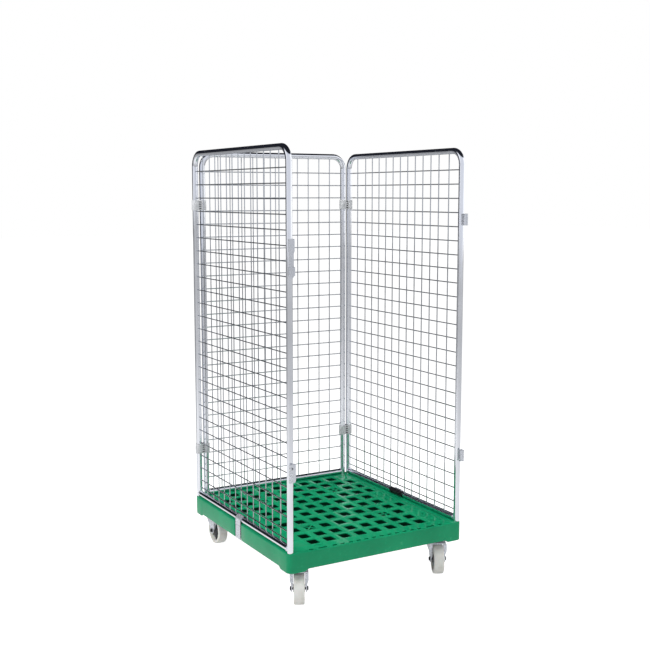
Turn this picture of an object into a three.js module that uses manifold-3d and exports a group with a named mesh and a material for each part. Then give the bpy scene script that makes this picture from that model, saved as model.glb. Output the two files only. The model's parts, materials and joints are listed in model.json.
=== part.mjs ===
// Roll cage container: a moulded plastic base on four casters, with two side panels and a back
// panel of bent tube and welded wire that plug into sockets in the base. The front is open.
// Millimetres, +Z up, X across the open front, +Y towards the back panel.

import * as THREE from "three";
import { mergeGeometries, mergeVertices } from "three/addons/utils/BufferGeometryUtils.js";
import Module from "manifold-3d";

const wasm = await Module();
wasm.setup();

// ---------------------------------------------------------------------------------------------
// Driving dimensions
// ---------------------------------------------------------------------------------------------

const FIT_GAP = 0.3;               // air between pieces that touch or slide on each other

// Base moulding
const BASE_WIDTH = 720;
const BASE_DEPTH = 800;
const BASE_CORNER_RADIUS = 22;
const RIM_TOP = 190.2;             // where the posts enter and the rails rest
const DECK_TOP = 191.7;            // load surface, a little proud of the rim
const DECK_THICKNESS = 12;
const SKIRT_BOTTOM = 128.5;
const SKIRT_CORNER_DROP = 8;       // the skirt hangs lower at its four corners
const SKIRT_CORNER_REACH = 60;
const SKIRT_WALL = 4;
const NOTCH_WIDTH = 55;            // recess in each side skirt for the locking tab
const NOTCH_DEPTH = 8;
const SOCKET_DEPTH = 45;
const OVERSHOOT = 9;               // how far a cutting tool stands past the face that it cuts
const FIELD_MARGIN = 12.5;         // from the rails to the edge of the raised load field
const BLOCK_MARGIN = [1, 7];       // how far each corner block reaches past its caster plate

// Deck lattice
const HOLE_PITCH = [64, 73.3];
const HOLE_SIZE = [39, 44];
const HOLE_COLUMNS = 8;
const HOLE_ROWS = 10;
const SIDE_HOLE_X = 280;           // narrow column next to each side rail
const SIDE_HOLE_SIZE = [30, 44];
const SIDE_HOLE_ROWS = [-1.5, 1.5, 2.5, 3.5];
const LAST_ROW_SHIFT = 7.5;        // the first and last rows sit closer to their neighbours

// Tube panels
const TUBE_RADIUS = 11;
const TUBE_BORE = 9.4;
const BEND_RADIUS = 50;            // centre line
const BEND_STEPS = 6;
const TOTAL_HEIGHT = 1546;
const SIDE_POST_X = 345.5;
const SIDE_POST_Y = 383.5;
const BACK_POST_X = 316;
const WIRE = 4;
const WIRE_PITCH = 100.66;         // every second horizontal wire of the welded mesh
const TOP_WIRE_DROP = 67;          // below the centre of the top tube
const MESH_ROWS = 13;
const LOW_WIRE = 230;
const SIDE_WIRES = [-311, -200, -100, 0, 100, 200, 311];
const BACK_WIRES = [-250, -150, -50, 50, 150, 250];

// Casters
const WHEEL_RADIUS = 54.5;
const WHEEL_HALF_WIDTH = 18.5;
const CASTER_X = 289;
const CASTER_Y = 339;
const TRAIL = 35;                  // the swivel wheels sit behind their pivots
const SWIVEL_ANGLE = 28;           // degrees that the front wheels are turned from straight ahead
const MOUNT_PLANE = 134;           // top of the caster plates
const PLATE_THICKNESS = 3.5;
const PLATE_HALF = [44, 40];
const PLATE_BOLT = [38.5, 30];
const FORK_SHEET = 3.2;
const AXLE_RADIUS = 5;

// The pieces that stand forward of the base move the middle of the whole object forward.
const SLEEVE_REACH = 34.5;
const CENTRE_SHIFT = (SIDE_POST_Y + SLEEVE_REACH - BASE_DEPTH / 2) / 2;

const RAIL_HEIGHT = RIM_TOP + TUBE_RADIUS + FIT_GAP;

// ---------------------------------------------------------------------------------------------
// Materials
// ---------------------------------------------------------------------------------------------

const material = (color, roughness, metalness) =>
  new THREE.MeshStandardMaterial({ color, roughness, metalness });

const green = material("#26925f", 0.35, 0);
const plated = material("#c3c9d3", 0.2, 1);
const zinc = material("#b9bdc6", 0.4, 1);
const clipGrey = material("#c2c3c3", 0.5, 0);
const cream = material("#e1e1d9", 0.5, 0);
const black = material("#1b1b1e", 0.45, 0.2);

// ---------------------------------------------------------------------------------------------
// Geometry helpers
// ---------------------------------------------------------------------------------------------

function toSolid(geometry) {
  const bare = new THREE.BufferGeometry();
  bare.setAttribute("position", geometry.getAttribute("position"));
  if (geometry.index) bare.setIndex(geometry.index);
  const merged = mergeVertices(bare, 1e-4);
  const mesh = new wasm.Mesh({
    numProp: 3,
    vertProperties: new Float32Array(merged.getAttribute("position").array),
    triVerts: new Uint32Array(merged.index.array),
  });
  return new wasm.Manifold(mesh);
}

function toGeometry(solid) {
  const mesh = solid.getMesh();
  const geometry = new THREE.BufferGeometry();
  geometry.setAttribute("position", new THREE.BufferAttribute(mesh.vertProperties, 3));
  geometry.setIndex(new THREE.BufferAttribute(mesh.triVerts, 1));
  geometry.computeVertexNormals();
  return geometry;
}

function box(x0, x1, y0, y1, z0, z1) {
  const geometry = new THREE.BoxGeometry(x1 - x0, y1 - y0, z1 - z0);
  return geometry.translate((x0 + x1) / 2, (y0 + y1) / 2, (z0 + z1) / 2);
}

function polygon(points) {
  return new THREE.Shape(points.map(([x, y]) => new THREE.Vector2(x, y)));
}

function roundPolygon(radius, sides, cx = 0, cy = 0) {
  const corner = (k) => (2 * Math.PI * (k + 0.5)) / sides;
  const points = [];
  for (let k = 0; k < sides; k++) {
    points.push([cx + radius * Math.cos(corner(k)), cy + radius * Math.sin(corner(k))]);
  }
  return polygon(points);
}

function roundedRectangle(halfX, halfY, radius) {
  const shape = new THREE.Shape();
  shape.absarc(halfX - radius, halfY - radius, radius, 0, Math.PI / 2);
  shape.absarc(radius - halfX, halfY - radius, radius, Math.PI / 2, Math.PI);
  shape.absarc(radius - halfX, radius - halfY, radius, Math.PI, 1.5 * Math.PI);
  shape.absarc(halfX - radius, radius - halfY, radius, 1.5 * Math.PI, 2 * Math.PI);
  return shape;
}

// A shape drawn in plan, raised from z0 to z1.
function raise(shape, z0, z1, curveSegments = 3) {
  const settings = { depth: z1 - z0, bevelEnabled: false, curveSegments };
  return new THREE.ExtrudeGeometry(shape, settings).translate(0, 0, z0);
}

// A shape drawn as an elevation (shape x = X, shape y = Z), running from y0 to y1.
function raiseAlongY(shape, y0, y1) {
  return raise(shape, -y1, -y0).rotateX(Math.PI / 2);
}

// A shape drawn as a side view (shape x = Y, shape y = Z), running from x0 to x1.
function raiseAlongX(shape, x0, x1) {
  return raise(shape, x0, x1).rotateX(Math.PI / 2).rotateZ(Math.PI / 2);
}

function cylinder(radius, z0, z1, x = 0, y = 0, sides = 16) {
  const geometry = new THREE.CylinderGeometry(radius, radius, z1 - z0, sides);
  return geometry.rotateX(Math.PI / 2).translate(x, y, (z0 + z1) / 2);
}

// A turned piece about the Z axis, from [radius, height] pairs.
function turned(profile, sides) {
  const points = profile.map(([r, z]) => new THREE.Vector2(r, z));
  return new THREE.LatheGeometry(points, sides).rotateX(Math.PI / 2);
}

// A path whose cross-sections fall only where they are needed: at the ends and in the bends.
class StationPath extends THREE.Curve {
  constructor(stations) {
    super();
    this.stations = stations;
  }
  at(t) {
    return this.stations[Math.round(t * (this.stations.length - 1))];
  }
  getPoint(t) {
    return this.at(t).point.clone();
  }
  getPointAt(t) {
    return this.at(t).point.clone();
  }
  getTangentAt(t) {
    return this.at(t).tangent.clone();
  }
}

// Centre line of an upturned U in the XZ plane: up, over and down again.
function upturnedU(halfWidth, foot, top) {
  const stations = [];
  const station = (x, z, angle) => {
    const tangent = new THREE.Vector3(Math.cos(angle), 0, Math.sin(angle));
    stations.push({ point: new THREE.Vector3(x, 0, z), tangent });
  };
  const bendX = halfWidth - BEND_RADIUS;
  const bendZ = top - BEND_RADIUS;
  station(-halfWidth, foot, Math.PI / 2);
  for (let k = 0; k <= BEND_STEPS; k++) {
    const turn = (Math.PI / 2) * (1 - k / BEND_STEPS);
    const x = -bendX - BEND_RADIUS * Math.sin(turn);
    station(x, bendZ + BEND_RADIUS * Math.cos(turn), turn);
  }
  for (let k = 0; k <= BEND_STEPS; k++) {
    const turn = (-Math.PI / 2) * (k / BEND_STEPS);
    const x = bendX - BEND_RADIUS * Math.sin(turn);
    station(x, bendZ + BEND_RADIUS * Math.cos(turn), turn);
  }
  station(halfWidth, foot, -Math.PI / 2);
  return new StationPath(stations);
}

const TUBE_SIDES = 12;
const BORE_SIDES = 8;

function tubeSection() {
  const section = roundPolygon(TUBE_RADIUS, TUBE_SIDES);
  section.holes.push(roundPolygon(TUBE_BORE, BORE_SIDES));
  return section;
}

const model = new THREE.Group();
model.position.y = CENTRE_SHIFT;

function addPart(parent, name, geometry, finish) {
  const mesh = new THREE.Mesh(geometry, finish);
  mesh.name = name;
  parent.add(mesh);
}

// ---------------------------------------------------------------------------------------------
// Base moulding, in six simple solids: lattice deck with its rim, skirt, four corner blocks
// ---------------------------------------------------------------------------------------------

const HALF_X = BASE_WIDTH / 2;
const HALF_Y = BASE_DEPTH / 2;
const DECK_BOTTOM = DECK_TOP - DECK_THICKNESS;
const SKIRT_LOWEST = SKIRT_BOTTOM - SKIRT_CORNER_DROP;

function latticeHoles() {
  const holes = [];
  const hole = (x, y, [w, d]) => {
    holes.push(box(x - w / 2, x + w / 2, y - d / 2, y + d / 2, DECK_BOTTOM - 1, DECK_TOP + 1));
  };
  for (let row = 0; row < HOLE_ROWS; row++) {
    const step = row - (HOLE_ROWS - 1) / 2;
    const isEnd = row === 0 || row === HOLE_ROWS - 1;
    const y = step * HOLE_PITCH[1] - (isEnd ? Math.sign(step) * LAST_ROW_SHIFT : 0);
    for (let column = 0; column < HOLE_COLUMNS; column++) {
      hole((column - (HOLE_COLUMNS - 1) / 2) * HOLE_PITCH[0], y, HOLE_SIZE);
    }
  }
  for (const step of SIDE_HOLE_ROWS) {
    hole(-SIDE_HOLE_X, step * HOLE_PITCH[1], SIDE_HOLE_SIZE);
    hole(SIDE_HOLE_X, step * HOLE_PITCH[1], SIDE_HOLE_SIZE);
  }
  return toSolid(mergeGeometries(holes));
}

// The outline of the base moved in by an inset, as a block from z0 to z1.
function baseBlock(inset, z0, z1) {
  const radius = BASE_CORNER_RADIUS - inset;
  return toSolid(raise(roundedRectangle(HALF_X - inset, HALF_Y - inset, radius), z0, z1));
}

// The two side recesses, moved in by a wall thickness.
function notches(wall) {
  const half = NOTCH_WIDTH / 2 + wall;
  const inner = HALF_X - NOTCH_DEPTH - wall;
  const outer = HALF_X + OVERSHOOT;
  const bottom = SKIRT_LOWEST - OVERSHOOT;
  const top = DECK_TOP + OVERSHOOT;
  const left = box(-outer, -inner, -half, half, bottom, top);
  return toSolid(mergeGeometries([left, box(inner, outer, -half, half, bottom, top)]));
}

function postSockets() {
  const bottom = RIM_TOP - SOCKET_DEPTH;
  const socket = (x, y) => cylinder(TUBE_RADIUS + FIT_GAP, bottom, RIM_TOP + OVERSHOOT, x, y);
  const sockets = [];
  for (const sx of [-1, 1]) {
    sockets.push(socket(sx * SIDE_POST_X, SIDE_POST_Y));
    sockets.push(socket(sx * SIDE_POST_X, -SIDE_POST_Y));
    sockets.push(socket(sx * BACK_POST_X, SIDE_POST_Y));
  }
  return toSolid(mergeGeometries(sockets));
}

function latticeDeck() {
  const fieldX = SIDE_POST_X - TUBE_RADIUS - FIELD_MARGIN;
  const fieldBack = SIDE_POST_Y - TUBE_RADIUS - FIELD_MARGIN;
  const fieldFront = -(HALF_Y - BASE_CORNER_RADIUS / 2);
  const field = box(-fieldX, fieldX, fieldFront, fieldBack, DECK_BOTTOM, DECK_TOP);
  const solid = baseBlock(0, DECK_BOTTOM, RIM_TOP).add(toSolid(field));
  return solid.subtract(latticeHoles()).subtract(postSockets()).subtract(notches(0));
}

// Wall around the base. Its lower edge is lifted between the corners, with sloping ends.
function skirt() {
  const top = DECK_BOTTOM - FIT_GAP;
  const relief = (half) => {
    const flat = half - SKIRT_CORNER_REACH;
    const below = SKIRT_LOWEST - SKIRT_CORNER_DROP;
    const slope = SKIRT_CORNER_DROP * 2;
    return polygon([
      [-flat, SKIRT_BOTTOM],
      [-flat - slope, below],
      [flat + slope, below],
      [flat, SKIRT_BOTTOM],
    ]);
  };
  const inside = baseBlock(SKIRT_WALL, SKIRT_LOWEST - 1, top + 1).subtract(notches(SKIRT_WALL));
  const wall = baseBlock(0, SKIRT_LOWEST, top).subtract(notches(0)).subtract(inside);
  return wall
    .subtract(toSolid(raiseAlongY(relief(HALF_X), -HALF_Y - 1, HALF_Y + 1)))
    .subtract(toSolid(raiseAlongX(relief(HALF_Y), -HALF_X - 1, HALF_X + 1)))
    .subtract(postSockets());
}

// Block between a caster plate and the deck, which also holds the feet of the posts.
function cornerBlock(sx, sy) {
  const innerX = CASTER_X - PLATE_HALF[0] - BLOCK_MARGIN[0];
  const innerY = CASTER_Y - PLATE_HALF[1] - BLOCK_MARGIN[1];
  const [x0, x1] = [sx * innerX, sx * HALF_X].sort((a, b) => a - b);
  const [y0, y1] = [sy * innerY, sy * HALF_Y].sort((a, b) => a - b);
  const bottom = MOUNT_PLANE + FIT_GAP;
  const top = DECK_BOTTOM - FIT_GAP;
  const block = toSolid(box(x0, x1, y0, y1, bottom, top));
  return block.intersect(baseBlock(SKIRT_WALL + FIT_GAP, bottom, top)).subtract(postSockets());
}

const cornerSides = {
  front_left: [-1, -1],
  front_right: [1, -1],
  rear_left: [-1, 1],
  rear_right: [1, 1],
};

addPart(model, "base_deck", toGeometry(latticeDeck()), green);
addPart(model, "base_skirt", toGeometry(skirt()), green);
for (const [name, [sx, sy]] of Object.entries(cornerSides)) {
  addPart(model, `base_${name}_block`, toGeometry(cornerBlock(sx, sy)), green);
}

// ---------------------------------------------------------------------------------------------
// Panels. Each is drawn facing +Y (its outside) and then turned into place.
// ---------------------------------------------------------------------------------------------

// One flat grille of upright and level wires; every wire ends just short of the tubes.
function wireGrille(halfWidth, uprights) {
  const half = WIRE / 2;
  const sideEnd = halfWidth - TUBE_RADIUS - FIT_GAP;
  const topEnd = TOTAL_HEIGHT - 2 * TUBE_RADIUS - FIT_GAP;
  const bottomEnd = RAIL_HEIGHT + TUBE_RADIUS + FIT_GAP;
  const firstLevel = TOTAL_HEIGHT - TUBE_RADIUS - TOP_WIRE_DROP;
  const levels = [LOW_WIRE];
  for (let k = 0; k < MESH_ROWS; k++) {
    levels.push(firstLevel - k * WIRE_PITCH);
  }
  // The middle wire of a side panel stops at the lowest level wire, above the locking tab.
  const upright = (x) => box(x - half, x + half, -half, half, x === 0 ? LOW_WIRE : bottomEnd, topEnd);
  const level = (z) => box(-sideEnd, sideEnd, -half, half, z - half, z + half);
  const standing = toSolid(mergeGeometries(uprights.map(upright)));
  return toGeometry(standing.add(toSolid(mergeGeometries(levels.map(level)))));
}

function addPanel(parent, name, halfWidth, uprights) {
  const frame = new THREE.ExtrudeGeometry(tubeSection(), {
    steps: 2 * BEND_STEPS + 3,
    extrudePath: upturnedU(halfWidth, RIM_TOP - SOCKET_DEPTH + FIT_GAP, TOTAL_HEIGHT - TUBE_RADIUS),
  });
  addPart(parent, `${name}_frame_tube`, frame, plated);

  const railEnd = halfWidth - TUBE_RADIUS - FIT_GAP;
  const rail = raise(tubeSection(), -railEnd, railEnd);
  rail.rotateY(Math.PI / 2).translate(0, 0, RAIL_HEIGHT);
  addPart(parent, `${name}_bottom_rail`, rail, plated);
  addPart(parent, `${name}_wire_mesh`, wireGrille(halfWidth, uprights), plated);
}

// Flat tab that hooks over the rail and runs down the notch in the skirt.
const TAB_WIDTH = 40;
const TAB_SHEET = 3;
const TAB_HOOK = 100;              // degrees that the tab reaches over the rail

function lockTab() {
  const inner = TUBE_RADIUS + FIT_GAP;
  const outer = inner + TAB_SHEET;
  const foot = SKIRT_BOTTOM - RAIL_HEIGHT;
  const overTop = (TAB_HOOK * Math.PI) / 180;
  const outline = new THREE.Shape();
  outline.moveTo(outer, foot);
  outline.absarc(0, 0, outer, 0, overTop);
  outline.absarc(0, 0, inner, overTop, 0, true);
  outline.lineTo(inner, foot);
  return raiseAlongX(outline, -TAB_WIDTH / 2, TAB_WIDTH / 2).translate(0, 0, RAIL_HEIGHT);
}

// Dark saddle on the inside of the rail, which grips the tab's bolt heads.
const SADDLE_LENGTH = 84;
const SADDLE_SHEET = 2.4;
const SADDLE_ARC = [112, 235];     // degrees around the rail, 0 on its outside and 90 on top
const SADDLE_BOLT_RADIUS = 5;
const SADDLE_BOLT_HEAD = 3;

function railSaddle() {
  const inner = TUBE_RADIUS + FIT_GAP;
  const [start, end] = SADDLE_ARC.map((angle) => (angle * Math.PI) / 180);
  const outline = new THREE.Shape();
  outline.absarc(0, 0, inner + SADDLE_SHEET, start, end);
  outline.absarc(0, 0, inner, end, start, true);
  const saddle = toSolid(raiseAlongX(outline, -SADDLE_LENGTH / 2, SADDLE_LENGTH / 2));
  const boltReach = inner + SADDLE_SHEET + SADDLE_BOLT_HEAD;
  const head = () => cylinder(SADDLE_BOLT_RADIUS, inner + 1, boltReach, 0, 0, 6);
  const bolt = (x) => head().rotateX(Math.PI / 2).translate(x, 0, 0);
  const joined = saddle.add(toSolid(bolt(-SADDLE_LENGTH / 3))).add(toSolid(bolt(SADDLE_LENGTH / 3)));
  return toGeometry(joined).translate(0, 0, RAIL_HEIGHT);
}

for (const [name, side] of [["left", -1], ["right", 1]]) {
  const panel = new THREE.Group();
  panel.position.x = side * SIDE_POST_X;
  panel.rotation.z = (-side * Math.PI) / 2;
  addPanel(panel, name, SIDE_POST_Y, SIDE_WIRES);
  addPart(panel, `${name}_lock_tab`, lockTab(), zinc);
  addPart(panel, `${name}_rail_saddle`, railSaddle(), black);
  model.add(panel);
}

const backPanel = new THREE.Group();
backPanel.position.y = SIDE_POST_Y;
addPanel(backPanel, "back", BACK_POST_X, BACK_WIRES);
model.add(backPanel);

// ---------------------------------------------------------------------------------------------
// Corner clips: a ring on each post, joined by an upright dovetail that lifts apart
// ---------------------------------------------------------------------------------------------

const CLIP_HEIGHT = 38;
const CLIP_LEVELS = { upper: 1340, lower: 383 };
const CLIP_RADIUS = 14.2;
const CLIP_HALF_DEPTH = 12;
const CLIP_MEET = (SIDE_POST_X - BACK_POST_X) / 2;

const TONGUE = 1.8;
const TONGUE_ROOT = 3.5;
const TONGUE_TIP = 5;
const GROOVE_PLAY = 0.8;

// Drawn about its post with the other post towards +X; the tongue is negative for a groove.
function clipHalf(meet, tongue, gap) {
  const startAngle = Math.asin(CLIP_HALF_DEPTH / CLIP_RADIUS);
  const root = TONGUE_ROOT + gap;
  const tip = TONGUE_TIP + gap;
  const outline = new THREE.Shape();
  outline.absarc(0, 0, CLIP_RADIUS, startAngle, 2 * Math.PI - startAngle);
  outline.lineTo(meet, -CLIP_HALF_DEPTH);
  outline.lineTo(meet, -root);
  outline.lineTo(meet + tongue, -tip);
  outline.lineTo(meet + tongue, tip);
  outline.lineTo(meet, root);
  outline.lineTo(meet, CLIP_HALF_DEPTH);
  outline.holes.push(roundPolygon((TUBE_RADIUS + FIT_GAP) / Math.cos(Math.PI / TUBE_SIDES), TUBE_SIDES));
  return raise(outline, -CLIP_HEIGHT / 2, CLIP_HEIGHT / 2);
}

for (const [level, z] of Object.entries(CLIP_LEVELS)) {
  for (const [name, side] of [["left", -1], ["right", 1]]) {
    const towardsBackPost = side > 0 ? Math.PI : 0;
    const sideHalf = clipHalf(CLIP_MEET - FIT_GAP / 2, TONGUE, 0).rotateZ(towardsBackPost);
    const backHalf = clipHalf(CLIP_MEET - FIT_GAP / 2, -TONGUE - FIT_GAP, GROOVE_PLAY);
    backHalf.rotateZ(towardsBackPost + Math.PI);
    sideHalf.translate(side * SIDE_POST_X, SIDE_POST_Y, z);
    backHalf.translate(side * BACK_POST_X, SIDE_POST_Y, z);
    addPart(model, `${name}_${level}_clip_side_half`, sideHalf, clipGrey);
    addPart(model, `${name}_${level}_clip_back_half`, backHalf, clipGrey);
  }
}

// ---------------------------------------------------------------------------------------------
// Fittings on the two front posts, drawn in front of a post that stands at the origin
// ---------------------------------------------------------------------------------------------

const POST_FACE = -(TUBE_RADIUS + FIT_GAP);      // front of the post, where a fitting is welded
const BOLT_HALF_WIDTH = 8;
const BOLT_BACK = -13.4;
const BOLT_FRONT = -18;
const GUIDE_FRONT = -21;
const GUIDE_HALF_WIDTH = 11;
const GUIDE_LEVELS = [1120, 1149];
const BOLT_TIP = 1112;
const BOLT_CHAMFER = 6;
const GRIP_CHAMFER = 5;
const GRIP_LEVELS = [1194, 1240];
const KEEPER_LEVELS = [433, 498];
const KEEPER_FLOOR = 10;
const KEEPER_HOLE_RADIUS = 3;
const KEEPER_HOLE_DROP = 14;       // from the top of the keeper to its drilled hole
const KEEPER_HEEL = 3;             // depth of the keeper at the lower end of its slope

function boltPassage(z0, z1) {
  const half = BOLT_HALF_WIDTH + FIT_GAP;
  return box(-half, half, BOLT_FRONT - FIT_GAP, BOLT_BACK + FIT_GAP, z0, z1);
}

function latchGuide() {
  const [low, high] = GUIDE_LEVELS;
  const body = toSolid(box(-GUIDE_HALF_WIDTH, GUIDE_HALF_WIDTH, GUIDE_FRONT, POST_FACE, low, high));
  return toGeometry(body.subtract(toSolid(boltPassage(low - 1, high + 1))));
}

function dropBolt() {
  const stem = polygon([
    [-BOLT_HALF_WIDTH, GRIP_LEVELS[0]],
    [-BOLT_HALF_WIDTH, BOLT_TIP + BOLT_CHAMFER],
    [-BOLT_HALF_WIDTH / 2, BOLT_TIP],
    [BOLT_HALF_WIDTH / 2, BOLT_TIP],
    [BOLT_HALF_WIDTH, BOLT_TIP + BOLT_CHAMFER],
    [BOLT_HALF_WIDTH, GRIP_LEVELS[0]],
    [GUIDE_HALF_WIDTH, GRIP_LEVELS[0] + GRIP_CHAMFER],
    [GUIDE_HALF_WIDTH, GRIP_LEVELS[1]],
    [-GUIDE_HALF_WIDTH, GRIP_LEVELS[1]],
    [-GUIDE_HALF_WIDTH, GRIP_LEVELS[0] + GRIP_CHAMFER],
  ]);
  return raiseAlongY(stem, BOLT_FRONT, BOLT_BACK);
}

function boltKeeper() {
  const [low, high] = KEEPER_LEVELS;
  const outline = polygon([
    [POST_FACE, low],
    [POST_FACE, high],
    [GUIDE_FRONT, high],
    [GUIDE_FRONT, low + KEEPER_FLOOR],
    [POST_FACE - KEEPER_HEEL, low],
  ]);
  const body = toSolid(raiseAlongX(outline, -GUIDE_HALF_WIDTH, GUIDE_HALF_WIDTH));
  const drill = cylinder(KEEPER_HOLE_RADIUS, 0, KEEPER_FLOOR, 0, 0, 8).rotateX(Math.PI / 2);
  drill.translate(0, GUIDE_FRONT + KEEPER_FLOOR - 1, high - KEEPER_HOLE_DROP);
  const passage = boltPassage(low + KEEPER_FLOOR, high + 1);
  return toGeometry(body.subtract(toSolid(passage)).subtract(toSolid(drill)));
}

const SLEEVE_HALF_WIDTH = 8;
const SLEEVE_SHEET = 2.5;
const SLEEVE_WINDOW = [-26.5, -18];
const SLEEVE_WINDOW_MARGIN = 4;
const SLEEVE_HEIGHT = 41;
const SLEEVE_BOTTOMS = { upper: 1273, lower: 421 };
const NOSE_STEPS = 8;

// Strip bent round a half-circle nose, with both ends welded to the post and a window on one side.
function doorSleeve(bottom) {
  const top = bottom + SLEEVE_HEIGHT;
  const inner = SLEEVE_HALF_WIDTH - SLEEVE_SHEET;
  const noseY = SLEEVE_HALF_WIDTH - SLEEVE_REACH;
  const nose = (radius) => {
    const points = [];
    for (let k = 0; k <= NOSE_STEPS; k++) {
      const angle = Math.PI * (1 + k / NOSE_STEPS);
      points.push([radius * Math.cos(angle), noseY + radius * Math.sin(angle)]);
    }
    return points;
  };
  const around = (radius) => [[-radius, POST_FACE], ...nose(radius), [radius, POST_FACE]];
  const outline = [...around(SLEEVE_HALF_WIDTH), ...around(inner).reverse()];
  const strip = toSolid(raise(polygon(outline), bottom, top));
  const [front, back] = SLEEVE_WINDOW;
  const low = bottom + SLEEVE_WINDOW_MARGIN;
  const high = top - SLEEVE_WINDOW_MARGIN;
  return toGeometry(strip.subtract(toSolid(box(-SLEEVE_HALF_WIDTH - 1, 0, front, back, low, high))));
}

const leftFront = new THREE.Group();
leftFront.position.set(-SIDE_POST_X, -SIDE_POST_Y, 0);
addPart(leftFront, "left_latch_guide", latchGuide(), zinc);
addPart(leftFront, "left_drop_bolt", dropBolt(), zinc);
addPart(leftFront, "left_bolt_keeper", boltKeeper(), zinc);
model.add(leftFront);

const rightFront = new THREE.Group();
rightFront.position.set(SIDE_POST_X, -SIDE_POST_Y, 0);
for (const [level, bottom] of Object.entries(SLEEVE_BOTTOMS)) {
  addPart(rightFront, `right_${level}_door_sleeve`, doorSleeve(bottom), zinc);
}
model.add(rightFront);

// ---------------------------------------------------------------------------------------------
// Casters, each drawn about its pivot with the wheel's axle along X
// ---------------------------------------------------------------------------------------------

const PLATE_BOTTOM = MOUNT_PLANE - PLATE_THICKNESS;
const PLATE_BOLT_RADIUS = 5.5;
const PLATE_BOLT_HEAD = 5;
const CROWN_TOP = 116;
const LEG_OUTER = 32;              // half width over the fork's legs at the crown
const LEG_TUCK = 5;                // how much closer each leg stands at the axle
const LEG_BOTTOM = WHEEL_RADIUS - 13;
const LEG_SHOULDER = WHEEL_RADIUS + 38;
const LEG_WAIST = WHEEL_RADIUS + 20;
const CROWN_BEND = 5;
const CROWN_FRONT = 30;
const FIXED_CROWN = 34;            // half length of the crown of a fork without a pivot
const EAR_RADIUS = 13;
const CROWN_LIP = 10;              // front edge of the crown, above the legs' shoulder
const CROWN_HEEL = 6;              // rear edge of the crown, above the legs' shoulder
const FORK_BLANK = 80;             // longer than any fork
const BORE_PLAY = 0.4;             // radial, round an axle or a kingpin
const PIN_RADIUS = 6;
const PIN_NUT = [9.5, 6];          // radius and height
const RACE_RADIUS = 27;
const RACE_CHAMFER = 4;
const RACE_FACE = 23;
const HUB_RADIUS = 14;
const HUB_HALF_WIDTH = 20;
const TREAD_INNER = 41;
const WEB_HALF = 5;
const WEB_FILLET = 2;
const TREAD_SHOULDER = 4;
const BOLT_HEAD = [7.5, 4.5];      // radius and height of the axle bolt's head and nut

function casterPlate() {
  const [halfX, halfY] = PLATE_HALF;
  const [boltX, boltY] = PLATE_BOLT;
  let solid = toSolid(box(-halfX, halfX, -halfY, halfY, PLATE_BOTTOM, MOUNT_PLANE));
  const bottom = PLATE_BOTTOM - PLATE_BOLT_HEAD;
  for (const sx of [-1, 1]) {
    for (const sy of [-1, 1]) {
      const head = cylinder(PLATE_BOLT_RADIUS, bottom, PLATE_BOTTOM + 1, sx * boltX, sy * boltY, 6);
      solid = solid.add(toSolid(head));
    }
  }
  return toGeometry(solid);
}

// Ball race and kingpin: hangs under the plate and carries the fork crown on its lower flange.
function kingpin() {
  const raceTop = PLATE_BOTTOM - FIT_GAP;
  const crownBottom = CROWN_TOP - FORK_SHEET;
  const [nutRadius, nutHeight] = PIN_NUT;
  return turned([
    [0, crownBottom - nutHeight],
    [nutRadius, crownBottom - nutHeight],
    [nutRadius, crownBottom - FIT_GAP],
    [PIN_RADIUS, crownBottom - FIT_GAP],
    [PIN_RADIUS, CROWN_TOP + FIT_GAP],
    [RACE_FACE, CROWN_TOP + FIT_GAP],
    [RACE_RADIUS, CROWN_TOP + RACE_CHAMFER],
    [RACE_RADIUS, raceTop - RACE_CHAMFER],
    [RACE_FACE, raceTop],
    [0, raceTop],
  ], 20);
}

// Bent-sheet fork: its front view crossed with its side view, then drilled.
function fork(top, axleY, hasPivot) {
  const bottomHalf = LEG_OUTER - LEG_TUCK;
  const half = (inset) => [
    [LEG_OUTER - inset - CROWN_BEND, top - inset],
    [LEG_OUTER - inset, top - CROWN_BEND - inset],
    [LEG_OUTER - inset, LEG_SHOULDER],
    [bottomHalf - inset, LEG_WAIST],
    [bottomHalf - inset, LEG_BOTTOM],
  ];
  const mirrored = (points) => points.map(([x, z]) => [-x, z]).reverse();
  const outside = half(0);
  const inside = half(FORK_SHEET);
  const under = [...[...inside].reverse(), ...[...mirrored(inside)].reverse()];
  const front = polygon([...mirrored(outside), ...outside, ...under]);

  const crownFront = hasPivot ? CROWN_FRONT : FIXED_CROWN;
  const crownBack = hasPivot ? Math.min(-CROWN_FRONT, axleY - EAR_RADIUS - 1) : -FIXED_CROWN;
  const side = new THREE.Shape();
  side.moveTo(crownBack, top);
  side.lineTo(crownBack, LEG_SHOULDER + CROWN_HEEL);
  side.lineTo(axleY - EAR_RADIUS, WHEEL_RADIUS);
  side.absarc(axleY, WHEEL_RADIUS, EAR_RADIUS, Math.PI, 2 * Math.PI);
  side.lineTo(crownFront - CROWN_HEEL, LEG_SHOULDER);
  side.lineTo(crownFront, LEG_SHOULDER + CROWN_LIP);
  side.lineTo(crownFront, top);

  const outer = LEG_OUTER + 1;
  let solid = toSolid(raiseAlongY(front, -FORK_BLANK, FORK_BLANK));
  solid = solid.intersect(toSolid(raiseAlongX(side, -outer, outer)));
  const axleHole = cylinder(AXLE_RADIUS + FIT_GAP, -outer, outer, 0, 0, 12).rotateY(Math.PI / 2);
  solid = solid.subtract(toSolid(axleHole.translate(0, axleY, WHEEL_RADIUS)));
  if (hasPivot) solid = solid.subtract(toSolid(cylinder(PIN_RADIUS + BORE_PLAY, top - OVERSHOOT, top + 1)));
  return toGeometry(solid);
}

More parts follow.
